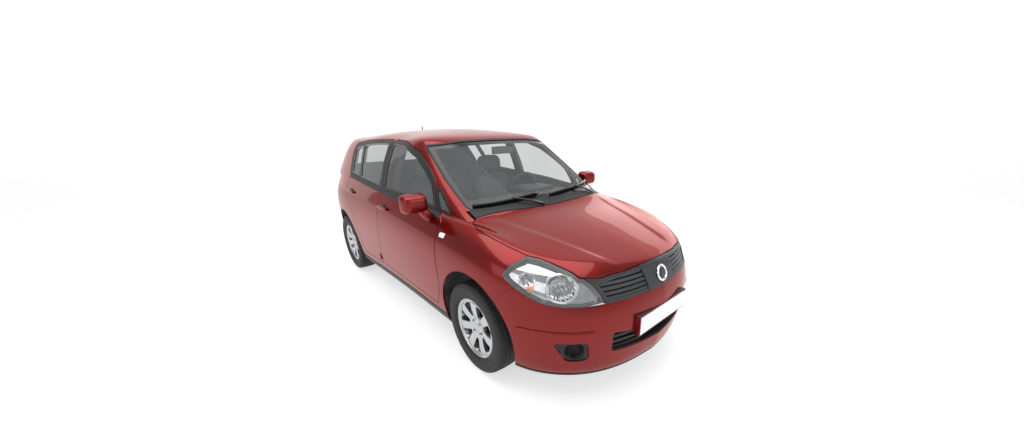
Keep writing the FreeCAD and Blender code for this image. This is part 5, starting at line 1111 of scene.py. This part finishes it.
face_points, face_normals, face = folded(face_points, face_normals, face, borders(face), 0.0035, 0.024)
BARREL = [(0.1985, 0.0750), (0.2035, 0.0780), (0.2048, 0.0770), (0.2030, 0.0720), (0.1960, 0.0680),
          (0.1900, 0.0600), (0.1850, 0.0200), (0.1850, -0.0600), (0.1960, -0.0680), (0.2045, -0.0750),
          (0.2000, -0.0780), (0.1800, -0.0600), (0.1800, 0.0200), (0.1840, 0.0560), (0.1900, 0.0680)]
NUTS, NUT_RING = 4, 0.050
for name, axle, hand in WHEELS:
    centre = np.array((axle, hand * HALF_TRACK, AXLE_LEVEL))
    flip = np.array((1, hand, 1))
    rim = make_mesh("rim_face_" + name, face_points * flip + centre, face[:, ::hand], face_normals * flip,
                    material=ALLOY, body="wheel_" + name)
    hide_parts("rim_" + name)
    barrel = [(r, w * hand) for r, w in BARREL]
    turned("rim_barrel_" + name, barrel, 96, centre, (0, 1, 0), None, ALLOY, "wheel_" + name,
           ends=True)
    out = np.array((0, hand, 0))
    turned("centre_cap_" + name, [(0.0001, 0.0030), (0.018, 0.0026), (0.0265, 0.0010), (0.028, -0.0040)], 40,
           centre + out * 0.0600, out, None, ALLOY, "wheel_" + name)
    for k in range(NUTS):
        turn = 2 * math.pi * (k + 0.5) / NUTS
        spot = centre + out * 0.0560 + NUT_RING * np.array((math.sin(turn), 0, math.cos(turn)))
        turned("wheel_nut_%s_%d" % (name, k), [(0.0001, 0.0070), (0.0070, 0.0065), (0.0095, 0.0040),
                                               (0.0100, -0.0040)],
               6, spot, out, None, STEEL, "wheel_" + name)
DISC_FACE = [(0.070, 0.0), (0.138, 0.0), (0.138, 0.0012), (0.070, 0.0012)]
for side, hand in (("left", 1), ("right", -1)):
    turned("brake_disc_" + side, DISC_FACE, 72, (FRONT_AXLE, hand * 0.7510 - 0.0006, AXLE_LEVEL), (0, 1, 0),
           None, STEEL, "knuckle_" + side, ends=True)

# %% [markdown]
# Door handles, mirrors and wipers. Round bodies such as the mirror's are superellipsoids: each cosine and
# sine of a sphere's point becomes sign(t) * |t|^p, and a power p below one pushes it out towards a box.

# %% Handles, mirrors, wipers
def swollen_box(name, centre, half, power, material, body, taper=None, steps=(48, 28), turn=None):
    """A superellipsoid. A taper may shift its points before they are turned and placed."""
    long = np.linspace(-math.pi, math.pi, steps[0], endpoint=False)
    wide = np.linspace(-math.pi / 2, math.pi / 2, steps[1])
    lon, lat = (v.ravel() for v in np.meshgrid(long, wide, indexing="ij"))

    def bent(value):
        return np.sign(value) * np.abs(value) ** power

    ball = np.stack([bent(np.cos(lat)) * bent(np.cos(lon)), bent(np.cos(lat)) * bent(np.sin(lon)),
                     bent(np.sin(lat))], 1)
    if taper:
        ball = taper(ball)
    points = ball * half
    if turn is not None:
        points = points @ np.asarray(turn).T
    i, j = (v.ravel() for v in np.meshgrid(np.arange(steps[0]), np.arange(steps[1] - 1), indexing="ij"))
    quads = np.stack([i * steps[1] + j, (i + 1) % steps[0] * steps[1] + j,
                      (i + 1) % steps[0] * steps[1] + j + 1, i * steps[1] + j + 1], 1)
    return make_mesh(name, points + centre, quads, material=material, body=body)


def mirror_taper(ball):
    """Narrower towards the front, and lower at the outer end of its top."""
    front = (ball[:, 0:1] + 1) / 2
    ball = ball * (1, 1, 1) - ball * (0, 0.16, 0.30) * front ** 2
    return ball


MIRROR_CENTRE, MIRROR_HALF, MIRROR_POWER = np.array((0.7520, 0.8770, 1.0590)), (0.0560, 0.0880, 0.0680), 0.42
ARM_CENTRE, ARM_HALF, ARM_POWER, ARM_LEAN = np.array((0.765, 0.805, 0.975)), (0.038, 0.034,
                                                                              0.066), 0.75, (0.78, 0.62)
GLASS_BACK, GLASS_HALF, GLASS_POWER = np.array((0.0515, 0, 0)), (0.0030, 0.0740, 0.0520), 0.35
for side, hand in (("left", 1), ("right", -1)):
    flip = np.array((1, hand, 1))
    body = "front_door_" + side
    shell = swollen_box("mirror_shell_" + side, MIRROR_CENTRE * flip, MIRROR_HALF, MIRROR_POWER, PAINT, body,
                        mirror_taper)
    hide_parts("mirror_" + side)
    lean = [(1, 0, 0), (0, ARM_LEAN[0], ARM_LEAN[1] * hand), (0, -ARM_LEAN[1] * hand, ARM_LEAN[0])]
    swollen_box("mirror_arm_" + side, ARM_CENTRE * flip, ARM_HALF, ARM_POWER, PAINT, body, turn=lean)
    swollen_box("mirror_glass_" + side, (MIRROR_CENTRE - GLASS_BACK) * flip, GLASS_HALF, GLASS_POWER, CHROME,
                body)

HANDLES = [("front_door", -0.045, 0.905), ("rear_door", -0.925, 0.945)]
# The handle's cup is a flat charcoal disc laid just proud of the door: painted shade in place of the
# body-coloured hollow behind the bar, which is dark only from shadow.
DOOR_ASIDE, BAR_PROUD, CUP_SHADE_PROUD = 0.83, 0.011, 0.0003
HANDLE_HALF, HANDLE_POWER, CUP_SHADE_HALF, CUP_SHADE_POWER = (0.100, 0.0120, 0.0150), 0.55, (0.044, 0.0034, 0.032), 0.8
for door, x, z in HANDLES:
    heart, outward = on_form([0, 2], (x, z), (x, DOOR_ASIDE, z))
    for side, hand in (("left", 1), ("right", -1)):
        flip = np.array((1, hand, 1))
        body = "%s_%s" % (door, side)
        swollen_box("%s_handle_%s" % (door, side), (heart + outward * BAR_PROUD) * flip, HANDLE_HALF,
                    HANDLE_POWER, PAINT, body)
        # Painted shade: a dark disc where the painted cup lies in shadow.
        swollen_box("%s_handle_cup_%s" % (door, side), (heart + outward * CUP_SHADE_PROUD) * flip, CUP_SHADE_HALF,
                    CUP_SHADE_POWER, CHARCOAL, body)


def swept(name, line, normals, half_width, half_height, material, body, slot):
    """A bar of rectangular section along a line of points, lying on the given normals."""
    line, normals = np.asarray(line), unit(np.asarray(normals))
    run = unit(np.gradient(line, axis=0))
    side = unit(np.cross(run, normals))
    widths = np.broadcast_to(half_width, len(line))[:, None]
    heights = np.broadcast_to(half_height, len(line))[:, None]
    ring = [side * widths * a + normals * heights * b for a, b in ((-1, -1), (1, -1), (0.6, 1), (-0.6, 1))]
    points = np.stack([line + r for r in ring], 1).reshape(-1, 3)
    i, j = (v.ravel() for v in np.meshgrid(np.arange(len(line) - 1), np.arange(4), indexing="ij"))
    quads = np.stack([i * 4 + j, i * 4 + (j + 1) % 4, (i + 1) * 4 + (j + 1) % 4, (i + 1) * 4 + j], 1)
    ends = np.array([[3, 2, 1, 0], np.arange(4) + (len(line) - 1) * 4])
    return make_mesh(name, points, np.concatenate([quads, ends]), material=material, body=body)


SCREEN_HEIGHTS, SCREEN_PLACES = (0.98, 1.45), (1.25, 0.42)


def on_screen(y, z):
    """A point of the windscreen and its normal, on either side of the car."""
    point, outward = on_form([1, 2], (abs(y), z), (np.interp(z, SCREEN_HEIGHTS, SCREEN_PLACES), abs(y), z))
    flip = np.array((1, -1 if y < 0 else 1, 1))
    return point * flip, outward * flip


WIPERS = [("driver", (0.02, 1.045), (0.600, 1.075), (0.520, 1.000)),
          ("passenger", (-0.600, 1.035), (-0.080, 1.062), (-0.100, 1.000))]
WIPER_POINTS, WIPER_MIDDLE = 16, 8
BLADE_PROUD, BLADE_SIZE, RIB_PROUD, RIB_SIZE = 0.006, (0.004, 0.008), 0.018, (0.009, 0.005)
ARM_PROUD, ARM_TIP_PROUD, ARM_WIDTHS, ARM_HEIGHT = 0.012, 0.026, (0.012, 0.008, 0.005), 0.005
for name, start, end, foot in WIPERS:
    ys, zs = (np.linspace(start[k], end[k], WIPER_POINTS) for k in (0, 1))
    found = [on_screen(y, z) for y, z in zip(ys, zs)]
    line, normals = np.array([f[0] for f in found]), np.array([f[1] for f in found])
    swept("wiper_blade_" + name, line + normals * BLADE_PROUD, normals, *BLADE_SIZE, BLACK_TRIM, "body", "trim")
    swept("wiper_rib_" + name, line + normals * RIB_PROUD, normals, *RIB_SIZE, GLOSS_BLACK, "body", "trim")
    root, root_out = on_screen(*foot)
    middle = line[WIPER_MIDDLE] + normals[WIPER_MIDDLE] * ARM_TIP_PROUD
    arm = np.array([root + root_out * ARM_PROUD, (root + middle) / 2 + root_out * ARM_PROUD, middle])
    swept("wiper_arm_" + name, arm, np.array([root_out, root_out, normals[WIPER_MIDDLE]]), ARM_WIDTHS,
          ARM_HEIGHT, GLOSS_BLACK, "body", "trim")

# %% [markdown]
# The cabin. Each cushion and back starts as a swollen box, is remeshed evenly and blown up as cloth
# under a little pressure, with the swelling capped, so that it crowns and pulls in at its edges. Wings
# and head rests stay as swollen boxes. The steering wheel and trims are plain grained plastic.

# %% Seats and cabin
LEATHER = finish("leather", (0.055, 0.058, 0.062), (0.085, 0.088, 0.092), (0.42, 0.55), 0, (240, 0.35), 6.0)
VOXEL, PRESSURE, QUALITY, FRAMES, SWELL_CAP, TINY = 0.009, 4.0, 4, 8, 0.022, 1e-9
PAD_POWER, SOFT_POWER, PAD_STEPS = 0.35, 0.6, (40, 22)


def places_of(mesh):
    """The places of a mesh's points as one flat row."""
    row = np.empty(len(mesh.vertices) * 3)
    mesh.vertices.foreach_get("co", row)
    return row


def blown(piece):
    """Swells a closed pad as cloth for a few frames and keeps the result, each move capped."""
    bpy.context.view_layer.objects.active = piece
    remesh = piece.modifiers.new("even", "REMESH")
    remesh.mode, remesh.voxel_size = "VOXEL", VOXEL
    bpy.ops.object.modifier_apply(modifier=remesh.name)
    rest = places_of(piece.data)
    cloth = piece.modifiers.new("cloth", "CLOTH")
    cloth.settings.use_pressure = True
    cloth.settings.uniform_pressure_force = PRESSURE
    cloth.settings.quality = QUALITY
    cloth.settings.effector_weights.gravity = 0
    for number in range(1, FRAMES + 1):
        bpy.context.scene.frame_set(number)
    now = places_of(piece.evaluated_get(bpy.context.evaluated_depsgraph_get()).data)
    piece.modifiers.remove(cloth)
    bpy.context.scene.frame_set(1)
    move = (now - rest).reshape(-1, 3)
    length = np.linalg.norm(move, axis=1, keepdims=True)
    move *= np.minimum(1, SWELL_CAP / np.maximum(length, TINY))
    piece.data.vertices.foreach_set("co", (rest.reshape(-1, 3) + move).ravel())
    piece.data.update()


def pad(name, centre, half, lean, power=PAD_POWER, blow=True):
    """One seat pad, leaned back about its own middle by lean degrees."""
    turn = math.radians(lean)
    spin = [(math.cos(turn), 0, -math.sin(turn)), (0, 1, 0), (math.sin(turn), 0, math.cos(turn))]
    piece = swollen_box(name, np.array(centre), half, power, LEATHER, "body", steps=PAD_STEPS,
                        turn=spin)
    if blow:
        blown(piece)
    return piece


SEAT_ASIDE, WING_ASIDE, POST_ASIDE, POST_RADIUS = 0.355, 0.180, 0.05, 0.006
CUSHION_PLACE, CUSHION_HALF, CUSHION_LEAN = (0.135, 0.455), (0.240, 0.205, 0.060), 4
BACK_PLACE, BACK_HALF, BACK_LEAN = (-0.080, 0.800), (0.052, 0.205, 0.290), 12
WING_PLACE, WING_HALF = (-0.045, 0.760), (0.055, 0.030, 0.220)
REST_PLACE, REST_HALF, REST_LEAN = (-0.170, 1.190), (0.048, 0.130, 0.080), 10
POST_LINE = ((-0.150, 1.06), (-0.168, 1.15))


def across(place, y):
    """A place of a given x and z at the distance y from the car's middle."""
    return place[0], y, place[1]


first_pad = None
for side, y in (("left", SEAT_ASIDE), ("right", -SEAT_ASIDE)):
    base = pad("seat_cushion_" + side, across(CUSHION_PLACE, y), CUSHION_HALF, CUSHION_LEAN)
    first_pad = first_pad or base
    pad("seat_back_" + side, across(BACK_PLACE, y), BACK_HALF, BACK_LEAN)
    for wing in (-1, 1):
        pad("seat_wing_%s_%d" % (side, wing), across(WING_PLACE, y + wing * WING_ASIDE), WING_HALF, BACK_LEAN,
            SOFT_POWER, blow=False)
    pad("head_rest_" + side, across(REST_PLACE, y), REST_HALF, REST_LEAN, SOFT_POWER, blow=False)
    for wing in (-1, 1):
        swept("head_post_%s_%d" % (side, wing), [across(place, y + wing * POST_ASIDE) for place in POST_LINE],
              [(1, 0, 0), (1, 0, 0)], POST_RADIUS, POST_RADIUS, STEEL, "body", "fabric")
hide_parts("front_seats")
pad("rear_cushion", (-0.800, 0, 0.520), (0.190, 0.560, 0.075), CUSHION_LEAN)
pad("rear_back", (-1.040, 0, 0.810), (0.050, 0.575, 0.200), 18)
REAR_REST_ASIDE = 0.36
for k, y in enumerate((-REAR_REST_ASIDE, REAR_REST_ASIDE)):
    pad("rear_head_rest_%d" % k, (-1.095, y, 1.010), (0.040, 0.120, 0.045), 15, SOFT_POWER, blow=False)

STEER_CENTRE, STEER_TILT = np.array((0.330, 0.370, 0.960)), math.radians(24)
RIM_RADIUS, RIM_THICK = 0.178, 0.0135
PAD_PROFILE = [(0.0001, 0.006), (0.045, 0.004), (0.066, -0.006), (0.070, -0.030), (0.050, -0.055)]
SPOKE_WAYS = ((1, 0.12), (-1, 0.12), (0.28, -1), (-0.28, -1))
SPOKE_LINE, SPOKE_WIDTHS, SPOKE_THICK = ((0.050, 0.020), (0.120, 0.012), (0.174, 0.0)), (0.020, 0.015,
                                                                                         0.013), 0.006
steer_axis = np.array((-math.cos(STEER_TILT), 0, math.sin(STEER_TILT)))
wheel_ring = turned("steering_rim", ring_profile(RIM_RADIUS, RIM_THICK, 16), 72, STEER_CENTRE, steer_axis, None,
                    CABIN_DARK, "steering_wheel", ends=True)
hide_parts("steering_wheel")
steer_side = np.array((0.0, 1.0, 0.0))
steer_up = np.cross(steer_side, steer_axis)
turned("steering_pad", PAD_PROFILE, 40, STEER_CENTRE, steer_axis, None, CABIN_DARK, "steering_wheel")
for k, (aside, up) in enumerate(SPOKE_WAYS):
    way = unit(steer_side * aside + steer_up * up)
    line = [STEER_CENTRE + way * out - steer_axis * drop for out, drop in SPOKE_LINE]
    swept("steering_spoke_%d" % k, line, [steer_axis] * 3, SPOKE_WIDTHS, SPOKE_THICK, CABIN_DARK,
          "steering_wheel", "interior")
BLOCKS = [("instrument_hood", (0.400, 0.200, 0.975), (0.640, 0.540, 1.020), 0.020),
          ("console", (0.000, -0.100, 0.310), (0.500, 0.100, 0.520), 0.030),
          ("cabin_mirror", (0.560, -0.105, 1.330), (0.585, 0.105, 1.390), 0.010)]
for name, low_corner, high_corner, bevel in BLOCKS:
    rounded_block(name, low_corner, high_corner, bevel, CABIN_DARK, "body")

# %% [markdown]
# Every solid of the frame that still shows gets the finish of its slot. Painted solids are dark on the
# faces that look into the cabin: those whose normal n has n . s below a limit, where s points from the
# middle of the cabin to the face, with its part along the car made small.

# %% Finishes of the frame's own solids
BY_SLOT = {"paint": PAINT, "trim": BLACK_TRIM, "lamp": LENS, "tail_lamp": RED_LENS, "glass": WINDOW,
           "chassis": CHASSIS, "engine": CAST, "exhaust": STEEL, "interior": CABIN_DARK, "fabric": CABIN_DARK,
           "tyre": TYRE_RUBBER, "alloy": ALLOY}
CABIN_HEART, ALONG_SHARE, INWARD_SHARE = 0.75, 0.15, 0.35
for part in frame["record"]["subparts"]:
    node = nodes[part["node"]]
    node.data.materials.clear()
    node.data.materials.append(BY_SLOT[part["material_slot"]])
    if part["material_slot"] == "paint":
        mesh = node.data
        mesh.materials.append(CABIN_DARK)
        count = len(mesh.polygons)
        middles, outs = np.empty(count * 3), np.empty(count * 3)
        mesh.polygons.foreach_get("center", middles)
        mesh.polygons.foreach_get("normal", outs)
        middles, outs = middles.reshape(-1, 3), outs.reshape(-1, 3)
        spread = (middles - (0, 0, CABIN_HEART)) * (ALONG_SHARE, 1, 1)
        inward = (unit(spread) * outs).sum(1) < INWARD_SHARE
        mesh.polygons.foreach_set("material_index", inward.astype(np.int32))

# %% [markdown]
# The floor is a plain pale sheet that glows a little, with a backdrop behind the car in the same white.
# The light is a soft studio: an even world, a broad panel overhead and three at the sides and the front
# that draw long highlights along the panels.

# %% Floor, light and camera
def soft_panel(name, place, aim, width, depth, power):
    """An area light that faces a point."""
    data = bpy.data.lights.new(name, "AREA")
    data.shape = "RECTANGLE"
    data.size, data.size_y, data.energy = width, depth, power
    lamp_object = bpy.data.objects.new(name, data)
    bpy.context.scene.collection.objects.link(lamp_object)
    lamp_object.location = place
    lamp_object.rotation_euler = (Vector(aim) - Vector(place)).to_track_quat("-Z", "Y").to_euler()
    return lamp_object


FLOOR_HALF = 90.0
floor_points = np.array([(-1, -1, 0), (1, -1, 0), (1, 1, 0), (-1, 1, 0)]) * FLOOR_HALF
floor_finish = finish("floor", (0.50, 0.50, 0.50), (0.52, 0.52, 0.52), (0.7, 0.8), 0, (40, 0.01), 0.5,
                      Emission_Color=(1, 1, 1, 1), Emission_Strength=0.62)
floor = make_mesh("floor", floor_points, np.array([[0, 1, 2, 3]]), material=floor_finish)
WALL_AWAY, WALL_HALF, WALL_HIGH = 45.0, 90.0, 60.0
away, along_wall = np.array((-0.72, 0.69, 0.0)), np.array((0.69, 0.72, 0.0))
WALL_CORNERS = ((-1, 0), (1, 0), (1, WALL_HIGH), (-1, WALL_HIGH))
wall_points = [away * WALL_AWAY + along_wall * WALL_HALF * a + np.array((0, 0, b)) for a, b in WALL_CORNERS]
wall_finish = finish("backdrop", (0.5, 0.5, 0.5), (0.5, 0.5, 0.5), (0.8, 0.9), 0, (1, 0), 0.5,
                     Emission_Color=(1, 1, 1, 1), Emission_Strength=0.95)
backdrop = make_mesh("backdrop", np.array(wall_points), np.array([[0, 1, 2, 3]]), material=wall_finish)
AIM_LEVEL, WORLD_STRENGTH = 0.6, 0.42
PANELS = [("overhead", (0.6, -0.6, 5.2), 0.0, 6.0, 5.0, 260), ("right_side", (1.5, -6.5, 2.8), 0.4, 7.0, 3.0,
                                                               90),
          ("front_side", (7.0, 1.5, 2.8), 0.5, 5.0, 3.0, 100), ("left_side", (0.0, 7.0, 3.0), 0.0, 7.0, 3.0,
                                                                100)]
for name, place, aim_along, width, depth, power in PANELS:
    soft_panel(name, place, (aim_along, 0, AIM_LEVEL), width, depth, power)
world = bpy.data.worlds.new("studio")
world.use_nodes = True
backing = world.node_tree.nodes["Background"].inputs
backing["Color"].default_value = (1, 1, 1, 1)
backing["Strength"].default_value = WORLD_STRENGTH
bpy.context.scene.world = world
bpy.context.scene.view_settings.view_transform = "Standard"

# The camera stands at the photograph's viewpoint, found from the car's wheels, track and plate.
CAMERA_PLACE = (3.04099, -1.79690, 1.51933)
CAMERA_AIM = (1.155, 0.0, 0.580)
CAMERA_ROLL = math.radians(-0.65)
CAMERA_LENS = 12.2006
CAMERA_SENSOR = 36.0
CAMERA_SHIFT = (-0.0388, 0.0339)


def set_camera():
    """A camera at the photograph's place, turned to its aim and rolled a little about it."""
    data = bpy.data.cameras.new("camera")
    data.lens, data.sensor_width = CAMERA_LENS, CAMERA_SENSOR
    data.shift_x, data.shift_y = CAMERA_SHIFT
    data.clip_start, data.clip_end = 0.02, 200
    camera = bpy.data.objects.new("camera", data)
    bpy.context.scene.collection.objects.link(camera)
    ahead = (Vector(CAMERA_AIM) - Vector(CAMERA_PLACE)).normalized()
    right = ahead.cross(Vector((0, 0, 1))).normalized()
    up = right.cross(ahead)
    level, tipped = math.cos(CAMERA_ROLL), math.sin(CAMERA_ROLL)
    right, up = right * level + up * tipped, up * level - right * tipped
    turn = Matrix((right, up, -ahead)).transposed()
    camera.matrix_world = Matrix.Translation(CAMERA_PLACE) @ turn.to_4x4()
    bpy.context.scene.camera = camera


set_camera()
